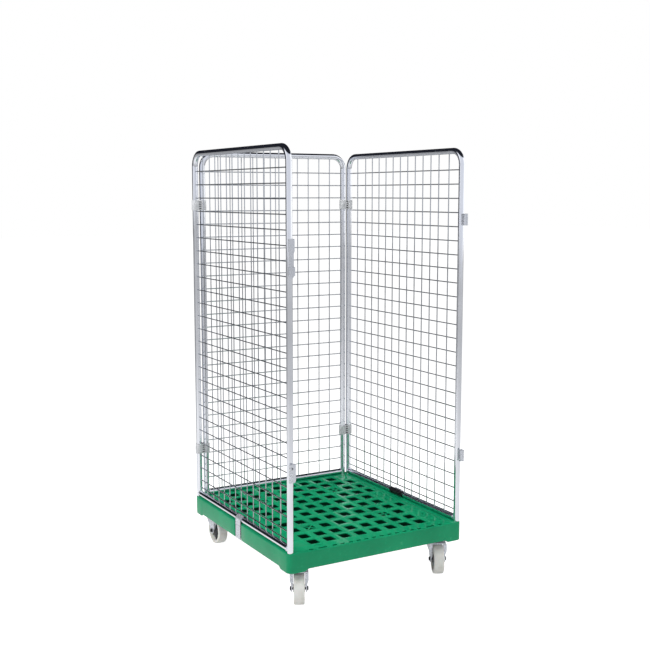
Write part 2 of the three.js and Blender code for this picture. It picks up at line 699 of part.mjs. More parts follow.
function wheel() {
  const bore = AXLE_RADIUS + BORE_PLAY;
  const half = [
    [bore, HUB_HALF_WIDTH],
    [HUB_RADIUS, HUB_HALF_WIDTH],
    [HUB_RADIUS + WEB_FILLET, WEB_HALF],
    [TREAD_INNER, WEB_HALF],
    [TREAD_INNER + WEB_FILLET, WHEEL_HALF_WIDTH],
    [WHEEL_RADIUS - TREAD_SHOULDER, WHEEL_HALF_WIDTH],
    [WHEEL_RADIUS - TREAD_SHOULDER / 4, WHEEL_HALF_WIDTH - TREAD_SHOULDER / 2],
    [WHEEL_RADIUS, WHEEL_HALF_WIDTH - 1.5 * TREAD_SHOULDER],
  ];
  const other = half.map(([r, x]) => [r, -x]).reverse();
  const profile = [...half, ...other, half[0]].reverse();
  return turned(profile, 24).rotateY(Math.PI / 2);
}

function axleBolt() {
  const [headRadius, headHeight] = BOLT_HEAD;
  const headStart = LEG_OUTER - LEG_TUCK + FIT_GAP;
  const headEnd = headStart + headHeight;
  const pin = turned([
    [0, -headEnd],
    [headRadius, -headEnd],
    [headRadius, -headStart],
    [AXLE_RADIUS, -headStart],
    [AXLE_RADIUS, headStart],
    [headRadius, headStart],
    [headRadius, headEnd],
    [0, headEnd],
  ], 12);
  return pin.rotateY(Math.PI / 2);
}

for (const [name, [sx, sy]] of Object.entries(cornerSides)) {
  const caster = new THREE.Group();
  caster.position.set(sx * CASTER_X, sy * CASTER_Y, 0);
  model.add(caster);
  addPart(caster, `caster_${name}_plate`, casterPlate(), zinc);

  const isSwivel = sy < 0;
  const axleY = isSwivel ? -TRAIL : 0;
  const turning = new THREE.Group();
  caster.add(turning);
  if (isSwivel) {
    turning.rotation.z = (-SWIVEL_ANGLE * Math.PI) / 180;
    addPart(caster, `caster_${name}_kingpin`, kingpin(), zinc);
  }
  const forkTop = isSwivel ? CROWN_TOP : PLATE_BOTTOM - FIT_GAP;
  addPart(turning, `caster_${name}_fork`, fork(forkTop, axleY, isSwivel), zinc);
  addPart(turning, `caster_${name}_axle`, axleBolt().translate(0, axleY, WHEEL_RADIUS), black);
  addPart(turning, `caster_${name}_wheel`, wheel().translate(0, axleY, WHEEL_RADIUS), cream);
}

export default model;
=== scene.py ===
import json
import math
import random

import bmesh
import bpy
from mathutils import Matrix, Vector


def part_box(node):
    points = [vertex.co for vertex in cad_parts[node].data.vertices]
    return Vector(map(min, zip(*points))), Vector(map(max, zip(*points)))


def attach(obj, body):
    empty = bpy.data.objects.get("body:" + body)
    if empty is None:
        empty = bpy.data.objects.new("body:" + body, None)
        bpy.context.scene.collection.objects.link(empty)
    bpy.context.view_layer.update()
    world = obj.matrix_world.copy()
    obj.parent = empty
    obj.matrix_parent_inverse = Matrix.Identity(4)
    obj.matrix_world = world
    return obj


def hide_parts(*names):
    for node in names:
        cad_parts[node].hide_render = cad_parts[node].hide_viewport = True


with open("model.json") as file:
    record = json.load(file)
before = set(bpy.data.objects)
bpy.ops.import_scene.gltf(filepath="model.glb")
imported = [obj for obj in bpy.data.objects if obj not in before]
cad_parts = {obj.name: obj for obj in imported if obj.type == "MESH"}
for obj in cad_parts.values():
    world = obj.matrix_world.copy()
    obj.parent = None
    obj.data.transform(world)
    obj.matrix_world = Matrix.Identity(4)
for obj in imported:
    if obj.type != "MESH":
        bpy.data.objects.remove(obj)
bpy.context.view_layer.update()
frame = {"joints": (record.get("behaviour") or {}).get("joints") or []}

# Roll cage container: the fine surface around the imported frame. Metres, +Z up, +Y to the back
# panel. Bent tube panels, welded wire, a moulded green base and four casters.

scene = bpy.context.scene
joints = {joint["name"]: joint for joint in frame["joints"]}

# ---- Dimensions: read from the frame where it has them, otherwise named here ----

GAP = 0.0003  # air between pieces that touch
TUBE_RADIUS = 0.011
FACET = math.cos(math.radians(15))  # a frame tube has twelve sides, flat side out
BEND_RADIUS = 0.050
WIRE_RADIUS = 0.0020
WIRE_LAYER = 0.0019  # uprights lie inside the panel's plane, levels outside
WIRE_PITCH = 0.05033
UPRIGHT_PITCH = 0.05
OUTER_UPRIGHT = 0.311  # the last upright of a side panel, out of step
TOP_WIRE_DROP = 0.067
LEVEL_WIRES = 25
LOW_WIRE = 0.230

deck_low, deck_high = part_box("base_deck")
HALF_X = deck_high.x
HALF_Y = (deck_high.y - deck_low.y) / 2
MIDDLE_Y = (deck_high.y + deck_low.y) / 2
DECK_TOP = deck_high.z
SKIRT_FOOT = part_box("base_skirt")[0].z
RIM_TOP = DECK_TOP - 0.0015
DECK_DEPTH = 0.028
CORNER = 0.022  # outer radius of the base in plan
CORNER_DROP = 0.008  # the skirt hangs lower at its corners
CORNER_REACH = 0.060
NOTCH_HALF = 0.0275
NOTCH_DEPTH = 0.008

side_low, side_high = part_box("left_frame_tube")
POST_X = -(side_low.x + side_high.x) / 2
POST_Y = (side_high.y - side_low.y) / 2 - TUBE_RADIUS * FACET
POST_FOOT = side_low.z
TOP_BAR = side_high.z - TUBE_RADIUS * FACET
back_low, back_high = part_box("back_frame_tube")
BACK_POST_X = (back_high.x - back_low.x) / 2 - TUBE_RADIUS * FACET
rail_low, rail_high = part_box("left_bottom_rail")
RAIL_HEIGHT = (rail_low.z + rail_high.z) / 2

centred = Matrix.Translation((0, MIDDLE_Y, 0))


def turn(degrees, axis):
    return Matrix.Rotation(math.radians(degrees), 4, axis)


def move(x, y, z):
    return Matrix.Translation((x, y, z))


# A panel is drawn facing +Y (its outside) about its own middle, and then put in place.
panel_place = {
    "left": centred @ move(-POST_X, 0, 0) @ turn(90, "Z"),
    "right": centred @ move(POST_X, 0, 0) @ turn(-90, "Z"),
    "back": centred @ move(0, POST_Y, 0),
}
panel_half = {"left": POST_Y, "right": POST_Y, "back": BACK_POST_X}

# ---- Node helpers and materials ----


class Tree:
    """A node tree that is filled by short calls."""

    def __init__(self, owner):
        owner.use_nodes = True
        self.tree = owner.node_tree

    def node(self, kind, inputs=None, **settings):
        made = self.tree.nodes.new(kind)
        for name, value in settings.items():
            setattr(made, name, value)
        for key, value in (inputs or {}).items():
            if isinstance(value, bpy.types.NodeSocket):
                self.tree.links.new(value, made.inputs[key])
            else:
                made.inputs[key].default_value = value
        return made.outputs[0]

    def math(self, operation, first, second=0.0):
        return self.node("ShaderNodeMath", {0: first, 1: second}, operation=operation)

    def add(self, first, second):
        return self.math("ADD", first, second)

    def times(self, first, second):
        return self.math("MULTIPLY", first, second)

    def spread(self, value, start, end, low, high):
        """value between start and end becomes a smooth step from low to high."""
        inputs = {"Value": value, "From Min": start, "From Max": end, "To Min": low, "To Max": high}
        return self.node("ShaderNodeMapRange", inputs, interpolation_type="SMOOTHSTEP")

    def ramp(self, value, *stops):
        colour = self.node("ShaderNodeValToRGB", {0: value})
        elements = colour.node.color_ramp.elements
        while len(elements) < len(stops):
            elements.new(0.5)
        for element, (position, shade) in zip(elements, stops):
            element.position = position
            element.color = (*shade, 1)
        return colour


class Finish(Tree):
    """A material worked out in object space."""

    def __init__(self, name, **sockets):
        self.material = bpy.data.materials.new(name)
        super().__init__(self.material)
        self.shader = self.tree.nodes["Principled BSDF"]
        self.place = self.node("ShaderNodeTexCoord").node.outputs["Object"]
        for socket, value in sockets.items():
            self.shader.inputs[socket.replace("_", " ")].default_value = value

    def noise(self, scale, detail=3.0, stretch=(1, 1, 1)):
        place = self.node("ShaderNodeMapping", {"Vector": self.place, "Scale": stretch})
        return self.node("ShaderNodeTexNoise", {"Vector": place, "Scale": scale, "Detail": detail})

    def axes(self):
        return self.node("ShaderNodeSeparateXYZ", {0: self.place}).node.outputs

    def grains(self, scale):
        """Crystal-like patches, each with its own value."""
        patches = self.node("ShaderNodeTexVoronoi", {"Vector": self.place, "Scale": scale})
        return patches.node.outputs["Color"]

    def feed(self, socket, value):
        self.tree.links.new(value, self.shader.inputs[socket])

    def colour(self, value, *stops):
        self.feed("Base Color", self.ramp(value, *stops))

    def roughness(self, value, low, high):
        self.feed("Roughness", self.spread(value, 0.3, 0.7, low, high))

    def bump(self, height, distance, strength):
        inputs = {"Height": height, "Distance": distance, "Strength": strength}
        self.feed("Normal", self.node("ShaderNodeBump", inputs))


def green_plastic():
    """Glossy moulded plastic with scuffs, with painted shade darkening it down in the pockets under
    the deck and a painted highlight on the tops of its ridges.
    """
    finish = Finish("green_plastic", Specular_IOR_Level=0.2)
    cloud = finish.noise(7, 5)
    scuff = finish.noise(60, 4, (1, 6, 1))
    x, y, z = finish.axes()
    from_side = finish.math("ABSOLUTE", x)
    from_middle = finish.math("ABSOLUTE", finish.math("SUBTRACT", y, MIDDLE_Y))
    beyond_x = finish.math("SUBTRACT", from_side, HALF_X - 0.006)
    beyond_y = finish.math("SUBTRACT", from_middle, HALF_Y - 0.006)
    diagonal = finish.add(from_side, from_middle)
    beyond_corner = finish.math("SUBTRACT", diagonal, HALF_X + HALF_Y - 0.030)
    beyond = finish.math("MAXIMUM", finish.math("MAXIMUM", beyond_x, beyond_y), beyond_corner)
    inside = finish.math("LESS_THAN", beyond, 0.0)
    # Painted shade: inside the field the plastic is darkened below the deck's top, down in the
    # pockets.
    below = finish.spread(z, DECK_TOP - 0.0085, DECK_TOP - 0.0015, 1.0, 0.0)
    painted_pocket_shade = finish.times(inside, below)
    # Painted highlight: the tops of the ridges are lightened.
    painted_ridge_highlight = finish.spread(z, DECK_TOP + 0.0001, DECK_TOP + 0.0003, 0.0, 0.10)
    worn = finish.spread(scuff, 0.56, 0.80, 0.0, 0.10)
    shade = finish.add(finish.times(cloud, 0.3), finish.add(worn, painted_ridge_highlight))
    shade = finish.math("SUBTRACT", finish.add(shade, 0.25), finish.times(painted_pocket_shade, 0.9))
    finish.colour(
        shade,
        (0.00, (0.001, 0.022, 0.011)),
        (0.30, (0.003, 0.215, 0.092)),
        (0.46, (0.006, 0.290, 0.124)),
        (0.95, (0.110, 0.560, 0.300)),
    )
    finish.roughness(finish.add(scuff, finish.spread(cloud, 0.4, 0.7, -0.1, 0.1)), 0.06, 0.13)
    finish.bump(finish.add(finish.noise(900, 2), finish.noise(28, 2)), 0.0001, 0.08)
    return finish.material


def plated_tube():
    finish = Finish("plated_tube", Metallic=1.0)
    cloud = finish.noise(9, 4)
    drawn = finish.noise(300, 3, (1, 1, 0.03))
    finish.colour(cloud, (0.3, (0.78, 0.80, 0.85)), (0.7, (0.86, 0.88, 0.93)))
    finish.roughness(finish.add(drawn, finish.math("SUBTRACT", cloud, 0.5)), 0.05, 0.13)
    finish.bump(finish.add(drawn, finish.noise(90, 2)), 0.0001, 0.03)
    return finish.material


def zinc_sheet():
    finish = Finish("zinc_sheet", Metallic=0.6)
    patch = finish.grains(160)
    cloud = finish.noise(40, 5)
    mixed = finish.add(finish.times(patch, 0.2), finish.times(cloud, 0.8))
    finish.colour(mixed, (0.25, (0.56, 0.58, 0.62)), (0.75, (0.62, 0.64, 0.69)))
    finish.roughness(mixed, 0.2, 0.32)
    finish.bump(finish.noise(420, 4), 0.0001, 0.12)
    return finish.material


def nylon():
    finish = Finish("wheel_nylon", Subsurface_Weight=0.08, Subsurface_Scale=0.01)
    cloud = finish.noise(24, 6)
    fine = finish.noise(260, 4)
    finish.colour(
        finish.add(finish.times(cloud, 0.75), finish.times(fine, 0.25)),
        (0.30, (0.52, 0.51, 0.46)),
        (0.50, (0.68, 0.68, 0.63)),
        (0.80, (0.76, 0.76, 0.72)),
    )
    finish.roughness(fine, 0.32, 0.5)
    finish.bump(finish.add(fine, finish.noise(1200, 2)), 0.0003, 0.35)
    return finish.material


def plain(name, cloud, dark, light, rough, grain, relief, **sockets):
    """One cloud between two colours; cloud and grain are (scale, detail) of their noise."""
    finish = Finish(name, **sockets)
    shade = finish.noise(*cloud)
    finish.colour(shade, dark, light)
    finish.roughness(shade, *rough)
    finish.bump(finish.noise(*grain), *relief)
    return finish.material


def plated_wire():
    dark, light = (0.3, (0.36, 0.38, 0.41)), (0.7, (0.50, 0.52, 0.55))
    relief = (0.0001, 0.15)
    return plain("plated_wire", (35, 4), dark, light, (0.08, 0.2), (500, 3), relief, Metallic=1.0)


def black_steel():
    dark, light = (0.35, (0.012, 0.012, 0.014)), (0.8, (0.05, 0.05, 0.055))
    relief = (0.0002, 0.4)
    return plain("black_steel", (120, 5), dark, light, (0.3, 0.5), (700, 3), relief, Metallic=0.6)


def grey_plastic():
    dark, light = (0.3, (0.48, 0.49, 0.50)), (0.7, (0.59, 0.60, 0.61))
    return plain("grey_plastic", (70, 5), dark, light, (0.38, 0.52), (1500, 2), (0.0002, 0.3))


# Dark grey for the web and hub of each wheel, and the same dark grey as painted shade in the clip
# notches.
def dark_core_and_notch_shade():
    dark, light = (0.3, (0.060, 0.062, 0.066)), (0.7, (0.110, 0.112, 0.118))
    return plain("dark_core_and_notch_shade", (55, 5), dark, light, (0.4, 0.6), (1100, 3), (0.0003, 0.4))


FINISHES = {
    "green_plastic": green_plastic(),
    "plated_tube": plated_tube(),
    "plated_wire": plated_wire(),
    "zinc_steel": zinc_sheet(),
    "black_steel": black_steel(),
    "clip_plastic": grey_plastic(),
    "wheel_nylon": nylon(),
}
DARK_CORE_AND_NOTCH_SHADE = dark_core_and_notch_shade()

# ---- Mesh helpers ----

SMOOTH_ANGLE = math.radians(38)


def new_object(name, data):
    made = bpy.data.objects.new(name, data)
    scene.collection.objects.link(made)
    return made


def add_piece(name, mesh, body, slot, place=None, replaces=(), edge=0.0, finish=None):
    """A finished piece: in place, smooth, riding on its body; edge is its bevel's width."""
    if place is not None:
        mesh.transform(place)
    mesh.shade_smooth()
    mesh.set_sharp_from_angle(angle=SMOOTH_ANGLE)
    mesh.materials.clear()
    mesh.materials.append(finish or FINISHES[slot])
    piece = new_object(name, mesh)
    if edge:
        bevel = piece.modifiers.new("edges", "BEVEL")
        bevel.width = edge
        bevel.segments = 2
        bevel.limit_method = "ANGLE"
        bevel.angle_limit = SMOOTH_ANGLE
        bevel.harden_normals = True
    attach(piece, body)
    if replaces:
        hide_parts(*replaces)
    return piece


def to_mesh(bm, name="part"):
    bmesh.ops.recalc_face_normals(bm, faces=bm.faces)
    mesh = bpy.data.meshes.new(name)
    bm.to_mesh(mesh)
    bm.free()
    return mesh


def evaluated_mesh(obj):
    """The object's mesh with its curve or modifiers applied; the object itself is removed."""
    bpy.context.view_layer.update()
    graph = bpy.context.evaluated_depsgraph_get()
    mesh = bpy.data.meshes.new_from_object(obj.evaluated_get(graph))
    bpy.data.objects.remove(obj)
    return mesh


def joined(*meshes):
    bm = bmesh.new()
    for mesh in meshes:
        bm.from_mesh(mesh)
    mesh = bpy.data.meshes.new("joined")
    bm.to_mesh(mesh)
    bm.free()
    return mesh


def placed(mesh, place):
    copy = mesh.copy()
    copy.transform(place)
    return copy


def boolean(mesh, tool, operation="DIFFERENCE"):
    target = new_object("target", mesh)
    cutter = new_object("cutter", tool)
    modifier = target.modifiers.new("boolean", "BOOLEAN")
    modifier.object = cutter
    modifier.operation = operation
    modifier.solver = "MANIFOLD"
    result = evaluated_mesh(target)
    bpy.data.objects.remove(cutter)
    return result


def arc(radius, start, end, steps, x=0.0, y=0.0):
    angles = [math.radians(start + (end - start) * k / steps) for k in range(steps + 1)]
    return [(x + radius * math.cos(a), y + radius * math.sin(a)) for a in angles]


def circle(radius, x=0.0, y=0.0):
    return arc(radius, 0, 345, 23, x, y)


def mirrored(points):
    return [(-x, z) for x, z in points][::-1]


def rounded_outline(half_x, half_y, radius, x=0.0, y=0.0, steps=4):
    points = []
    for start, sx, sy in ((0, 1, 1), (90, -1, 1), (180, -1, -1), (270, 1, -1)):
        centre_x = x + sx * (half_x - radius)
        centre_y = y + sy * (half_y - radius)
        points += arc(radius, start, start + 90, steps, centre_x, centre_y)
    return points


def prism(outline, low, high):
    """A plan outline raised from low to high."""
    bm = bmesh.new()
    foot = [bm.verts.new((x, y, low)) for x, y in outline]
    head = [bm.verts.new((x, y, high)) for x, y in outline]
    bm.faces.new(foot[::-1])
    bm.faces.new(head)
    for k in range(len(outline)):
        after = (k + 1) % len(outline)
        bm.faces.new((foot[k], foot[after], head[after], head[k]))
    return to_mesh(bm)


def block(low, high):
    x0, y0, z0 = low
    x1, y1, z1 = high
    return prism([(x0, y0), (x1, y0), (x1, y1), (x0, y1)], z0, z1)


def sheet(outlines, low, high, edge):
    """A plate with rounded edges; the first outline is its outside, the rest are holes."""
    curve = bpy.data.curves.new("sheet", "CURVE")
    curve.dimensions = "2D"
    curve.fill_mode = "BOTH"
    curve.extrude = (high - low) / 2 - edge
    curve.bevel_depth = edge
    curve.bevel_resolution = 2
    curve.offset = -edge
    for outline in outlines:
        spline = curve.splines.new("POLY")
        spline.points.add(len(outline) - 1)
        for point, (x, y) in zip(spline.points, outline):
            point.co = (x, y, 0, 1)
        spline.use_cyclic_u = True
    bm = bmesh.new()
    bm.from_mesh(evaluated_mesh(new_object("sheet", curve)))
    bmesh.ops.remove_doubles(bm, verts=bm.verts, dist=1e-6)
    bmesh.ops.translate(bm, verts=bm.verts, vec=(0, 0, (low + high) / 2))
    return to_mesh(bm)


def round_bars(paths, radius, resolution):
    curve = bpy.data.curves.new("bars", "CURVE")
    curve.dimensions = "3D"
    curve.bevel_depth = radius
    curve.bevel_resolution = resolution
    curve.use_fill_caps = True
    for path in paths:
        spline = curve.splines.new("POLY")
        spline.points.add(len(path) - 1)
        for point, place in zip(spline.points, path):
            point.co = (*place, 1)
    return evaluated_mesh(new_object("bars", curve))


def turned(profile, segments=48):
    """A turned piece about Z from (radius, height) pairs that start and end on the axis or meet."""
    bm = bmesh.new()
    rings = []
    for r, z in profile:
        count = segments if r > 0 else 1
        angles = [math.tau * k / segments for k in range(count)]
        rings.append([bm.verts.new((r * math.cos(a), r * math.sin(a), z)) for a in angles])
    if profile[0][0] > 0:
        rings.append(rings[0])
    for first, second in zip(rings, rings[1:]):
        for k in range(segments):
            places = ((first, k), (first, k + 1), (second, k + 1), (second, k))
            bm.faces.new(list(dict.fromkeys(ring[at % len(ring)] for ring, at in places)))
    return to_mesh(bm)


def hexagon_head(radius, height):
    """A hexagonal bolt head with a chamfered top, standing on z = 0."""
    head = prism(arc(radius, 0, 300, 5), 0, height)
    tip = height * 1.08
    cone = turned([(0, -height), (radius * 2.1, -height), (radius * 0.8, tip), (0, tip)], 36)
    return boolean(head, cone, "INTERSECT")


# ---- Base moulding ----

COLUMN_PITCH = 0.064
ROW_PITCH = 0.0733
FIELD_X = 0.304
FIELD_Y = 0.3515
HOLE_HALF = (0.0195, 0.022)
SIDE_HOLE_HALF = (0.015, 0.022)
SIDE_HOLE_ROWS = (3, 6, 7, 8)  # rows counted from the front
HOLE_CORNER = 0.005
RIDGE_HEIGHT = 0.0003
RIDGE_HALF = 0.0017
DECK_BOTTOM = DECK_TOP - DECK_DEPTH

column_lines = [-FIELD_X] + [k * COLUMN_PITCH for k in range(-4, 5)] + [FIELD_X]
row_lines = [-FIELD_Y] + [k * ROW_PITCH for k in range(-4, 5)] + [FIELD_Y]


class Welder:
    """A mesh under construction whose faces share every vertex at the same place."""

    def __init__(self):
        self.bm = bmesh.new()
        self.vertices = {}

    def vertex(self, x, y, z):
        key = (round(x, 6), round(y, 6), round(z, 6))
        if key not in self.vertices:
            self.vertices[key] = self.bm.verts.new((x, y, z))
        return self.vertices[key]

    def face(self, points):
        corners = list(dict.fromkeys(self.vertex(*point) for point in points))
        if len(corners) > 2:
            self.bm.faces.new(corners)


def clamp(value, low, high):
    return min(high, max(low, value))


def smooth_step(value):
    value = clamp(value, 0.0, 1.0)
    return value * value * (3 - 2 * value)


class Station:
    """One place around the edge of the base: its point on the core rectangle and its way out."""

    def __init__(self, x, y, heading, foot=SKIRT_FOOT, notch=0.0):
        self.core = (x, y)
        self.out = (math.cos(heading), math.sin(heading))
        self.foot = foot
        self.notch = notch

    def at_inset(self, inset, z):
        reach = max(0.0, CORNER - inset - self.notch)
        return (self.core[0] + reach * self.out[0], self.core[1] + reach * self.out[1], z)

    def at_field(self, grow, z):
        half_x = FIELD_X + grow
        half_y = FIELD_Y + grow
        x, y = self.core
        return (clamp(x, -half_x, half_x), clamp(y, -half_y, half_y), z)


# How the notch in a side skirt begins: (distance outside its edge, share of its depth).
NOTCH_ONSET = (
    (0.0022, 0.0), (0.0008, 0.05), (0.0, 0.3), (-0.0002, 0.72), (-0.001, 0.94), (-0.0026, 1.0),
)
DROP_LENGTH = 0.018
DROP_STEPS = 6
CORNER_STEPS = 8


def side_stations(lines, half, has_notch):
    """Distances along one side with the skirt's foot and notch there, from minus half to half."""
    corner_start = half + CORNER - CORNER_REACH
    places = {round(line, 6) for line in lines}
    for k in range(DROP_STEPS + 1):
        along = corner_start - DROP_LENGTH * k / DROP_STEPS
        places |= {round(along, 6), round(-along, 6)}
    notch_at = {}
    if has_notch:
        for outside, share in NOTCH_ONSET:
            for sign in (-1, 1):
                notch_at[round(sign * (NOTCH_HALF + outside), 6)] = share
        places |= set(notch_at)
    result = []
    for along in sorted(places):
        lifted = smooth_step((corner_start - abs(along)) / DROP_LENGTH)
        inside = has_notch and abs(along) < NOTCH_HALF
        share = notch_at.get(along, 1.0 if inside else 0.0)
        result.append((along, SKIRT_FOOT + CORNER_DROP * lifted, NOTCH_DEPTH * share))
    return result


def edge_stations():
    core_x = HALF_X - CORNER
    core_y = HALF_Y - CORNER
    along_x = side_stations(column_lines, core_x, False)
    along_y = side_stations(row_lines, core_y, True)
    sides = (
        (along_x, lambda a: (a, -core_y), (core_x, -core_y)),
        (along_y, lambda a: (core_x, a), (core_x, core_y)),
        (along_x, lambda a: (-a, core_y), (-core_x, core_y)),
        (along_y, lambda a: (-core_x, -a), (-core_x, -core_y)),
    )
    stations = []
    for side, (run, place, corner) in enumerate(sides):
        heading = (side - 1) * math.pi / 2
        stations += [Station(*place(a), heading, foot, notch) for a, foot, notch in run]
        for k in range(CORNER_STEPS + 1):
            stations.append(Station(*corner, heading + math.pi / 2 * k / CORNER_STEPS))
    return stations


# Insets from the base's edge, with heights over the rim's top and over the skirt's foot.
RIM_CURVE = ((CORNER, 0.0001), (0.0040, 0), (0.0020, -0.0004), (0.0006, -0.0016), (0, -0.0036))
FOOT_CURVE = ((0, 0.0024), (0.0006, 0.0008), (0.0018, 0), (0.0032, 0), (0.0040, 0.0012))


def edge_profile(station):
    """From the field's border out over the rim, down the skirt and back under the deck."""
    return [
        station.at_field(0, DECK_TOP + RIDGE_HEIGHT),
        station.at_field(RIDGE_HALF, DECK_TOP),
        station.at_field(0.008, DECK_TOP - 0.0002),
        *[station.at_inset(inset, RIM_TOP + rise) for inset, rise in RIM_CURVE],
        *[station.at_inset(inset, station.foot + rise) for inset, rise in FOOT_CURVE],
        station.at_inset(0.0046, DECK_BOTTOM),
        station.at_inset(CORNER, DECK_BOTTOM),
        station.at_field(RIDGE_HALF, DECK_BOTTOM),
        station.at_field(0, DECK_BOTTOM),
    ]


def hole_of(column, row):
    """Half sizes of the hole in one cell of the field, or None where the cell is plain."""
    if 0 < column < len(column_lines) - 2:
        return HOLE_HALF
    return SIDE_HOLE_HALF if row in SIDE_HOLE_ROWS else None


def cell_face(welder, corners, inner, outline, border_z, field_z, border_points):
    """One cell seen from above: a sloping border, then a flat face around the hole's outline."""
    for k in range(4):
        start = corners[k]
        end = corners[(k + 1) % 4]
        between = [
            p for p in border_points
            if min(start[0], end[0]) - 1e-7 <= p[0] <= max(start[0], end[0]) + 1e-7
            and min(start[1], end[1]) - 1e-7 <= p[1] <= max(start[1], end[1]) + 1e-7
        ]
        between.sort(key=lambda p: abs(p[0] - start[0]) + abs(p[1] - start[1]))
        edge = [(*p, border_z) for p in (start, *between, end)]
        welder.face([*edge, (*inner[(k + 1) % 4], field_z), (*inner[k], field_z)])
    if outline is None:
        welder.face([(*p, field_z) for p in inner])
        return
    quarter = len(outline) // 4
    for k in range(4):
        run = outline[k * quarter:(k + 1) * quarter]
        first_of_next = outline[((k + 1) * quarter) % len(outline)]
        for a, b in zip(run, run[1:]):
            welder.face([(*inner[k], field_z), (*b, field_z), (*a, field_z)])
        welder.face([
            (*inner[k], field_z),
            (*inner[(k + 1) % 4], field_z),
            (*first_of_next, field_z),
            (*run[-1], field_z),
        ])


# A hole's wall from the top down: (growth of the outline, depth).
HOLE_WALL = (
    (0.0022, 0.0), (0.0011, 0.0003), (0.0003, 0.0011), (0.0, 0.0022), (-0.0008, DECK_DEPTH),
)


def deck_cell(welder, column, row, border_points):
    x0, x1 = column_lines[column], column_lines[column + 1]
    y0, y1 = row_lines[row], row_lines[row + 1]
    r = RIDGE_HALF
    corners = [(x1, y1), (x0, y1), (x0, y0), (x1, y0)]
    inner = [(x1 - r, y1 - r), (x0 + r, y1 - r), (x0 + r, y0 + r), (x1 - r, y0 + r)]
    half = hole_of(column, row)
    if half is None:
        outlines = [None, None]
    else:
        middle = ((x0 + x1) / 2, (y0 + y1) / 2)
        outlines = [
            rounded_outline(half[0] + grow, half[1] + grow, HOLE_CORNER + grow, *middle)
            for grow, depth in HOLE_WALL
        ]
        depths = [depth for grow, depth in HOLE_WALL]
        for upper, lower, z0, z1 in zip(outlines, outlines[1:], depths, depths[1:]):
            for k in range(len(upper)):
                after = (k + 1) % len(upper)
                ring = [(*upper[k], DECK_TOP - z0), (*upper[after], DECK_TOP - z0)]
                welder.face([*ring, (*lower[after], DECK_TOP - z1), (*lower[k], DECK_TOP - z1)])
    cell_face(welder, corners, inner, outlines[0], DECK_TOP + RIDGE_HEIGHT, DECK_TOP, border_points)
    cell_face(welder, corners, inner, outlines[-1], DECK_BOTTOM, DECK_BOTTOM, border_points)


def deck_shell():
    welder = Welder()
    stations = edge_stations()
    profiles = [edge_profile(station) for station in stations]
    for here, after in zip(profiles, profiles[1:] + profiles[:1]):
        for k in range(len(here) - 1):
            welder.face([here[k], here[k + 1], after[k + 1], after[k]])
    border_points = {(round(x, 6), round(y, 6)) for x, y, z in (p[0] for p in profiles)}
    lines = {(round(x, 6), round(y, 6)) for x in column_lines for y in row_lines}
    border_points = sorted(border_points - lines)
    for column in range(len(column_lines) - 1):
        for row in range(len(row_lines) - 1):
            deck_cell(welder, column, row, border_points)
    return to_mesh(welder.bm, "base")


POCKET_Y = -0.3885  # small pockets along the front rim
POCKET_X = (0.016, 0.048, 0.080, 0.112, 0.144, 0.176, 0.268)
POCKET_HALF = (0.0085, 0.0045)
WIDE_POCKET_X = 0.224
WIDE_POCKET_HALF = 0.018
GROOVE_Y = -0.362  # a shallow groove behind each wide pocket
POCKET_DEPTH = 0.013
SLIT_X = 0.280
SLIT_SPREAD = 0.0125
SOCKET_RADIUS = TUBE_RADIUS + 0.0004
SOCKET_DEPTH = 0.045
PAD_FOOT = 0.1343  # underside of the boxes over the casters
PAD_X = 0.244
PAD_Y = 0.292
SKIRT_WALL = 0.004


def deck_cutters():
    """Everything that is cut out of the base after it is drawn."""
    cutters = []

    def painted_pocket_shade(x, y, half_x, half_y, depth, radius):
        outline = rounded_outline(half_x, half_y, radius, x, y, 3)
        cutters.append(prism(outline, DECK_TOP - depth, DECK_TOP + 0.01))

    for sign in (-1, 1):
        for x in POCKET_X:
            painted_pocket_shade(sign * x, POCKET_Y, *POCKET_HALF, POCKET_DEPTH, 0.002)
        wide_x = sign * WIDE_POCKET_X
        painted_pocket_shade(wide_x, POCKET_Y, WIDE_POCKET_HALF, POCKET_HALF[1], POCKET_DEPTH, 0.002)
        painted_pocket_shade(wide_x, GROOVE_Y, WIDE_POCKET_HALF, 0.0012, 0.003, 0.001)
        for row in (-0.5, 0.5):
            for spread in (-1, 1):
                slit_x = sign * SLIT_X + spread * SLIT_SPREAD
                painted_pocket_shade(slit_x, row * ROW_PITCH, 0.002, 0.015, DECK_DEPTH + 0.01, 0.0018)
        for x, y in ((POST_X, POST_Y), (POST_X, -POST_Y), (BACK_POST_X, POST_Y)):
            outline = circle(SOCKET_RADIUS, sign * x, y)
            cutters.append(prism(outline, RIM_TOP - SOCKET_DEPTH, RIM_TOP + 0.01))
    painted_pocket_shade(SLIT_X, -3.5 * ROW_PITCH, 0.010, 0.002, 0.006, 0.0018)
    return joined(*cutters)


def base_moulding():
    mesh = deck_shell()
    edge_x = HALF_X - SKIRT_WALL
    edge_y = HALF_Y - SKIRT_WALL
    pads = []
    for sx in (-1, 1):
        for sy in (-1, 1):
            middle = (sx * (PAD_X + edge_x) / 2, sy * (PAD_Y + edge_y) / 2)
            half = ((edge_x - PAD_X) / 2, (edge_y - PAD_Y) / 2)
            outline = rounded_outline(*half, CORNER - SKIRT_WALL, *middle)
            pads.append(prism(outline, PAD_FOOT, DECK_BOTTOM + 0.002))
    mesh = boolean(mesh, joined(*pads), "UNION")
    return boolean(mesh, deck_cutters())


BAR_HALF = 0.0028
BAR_DEPTH = 0.012
BARRED_CELL = 2.5  # cells from the middle of the deck


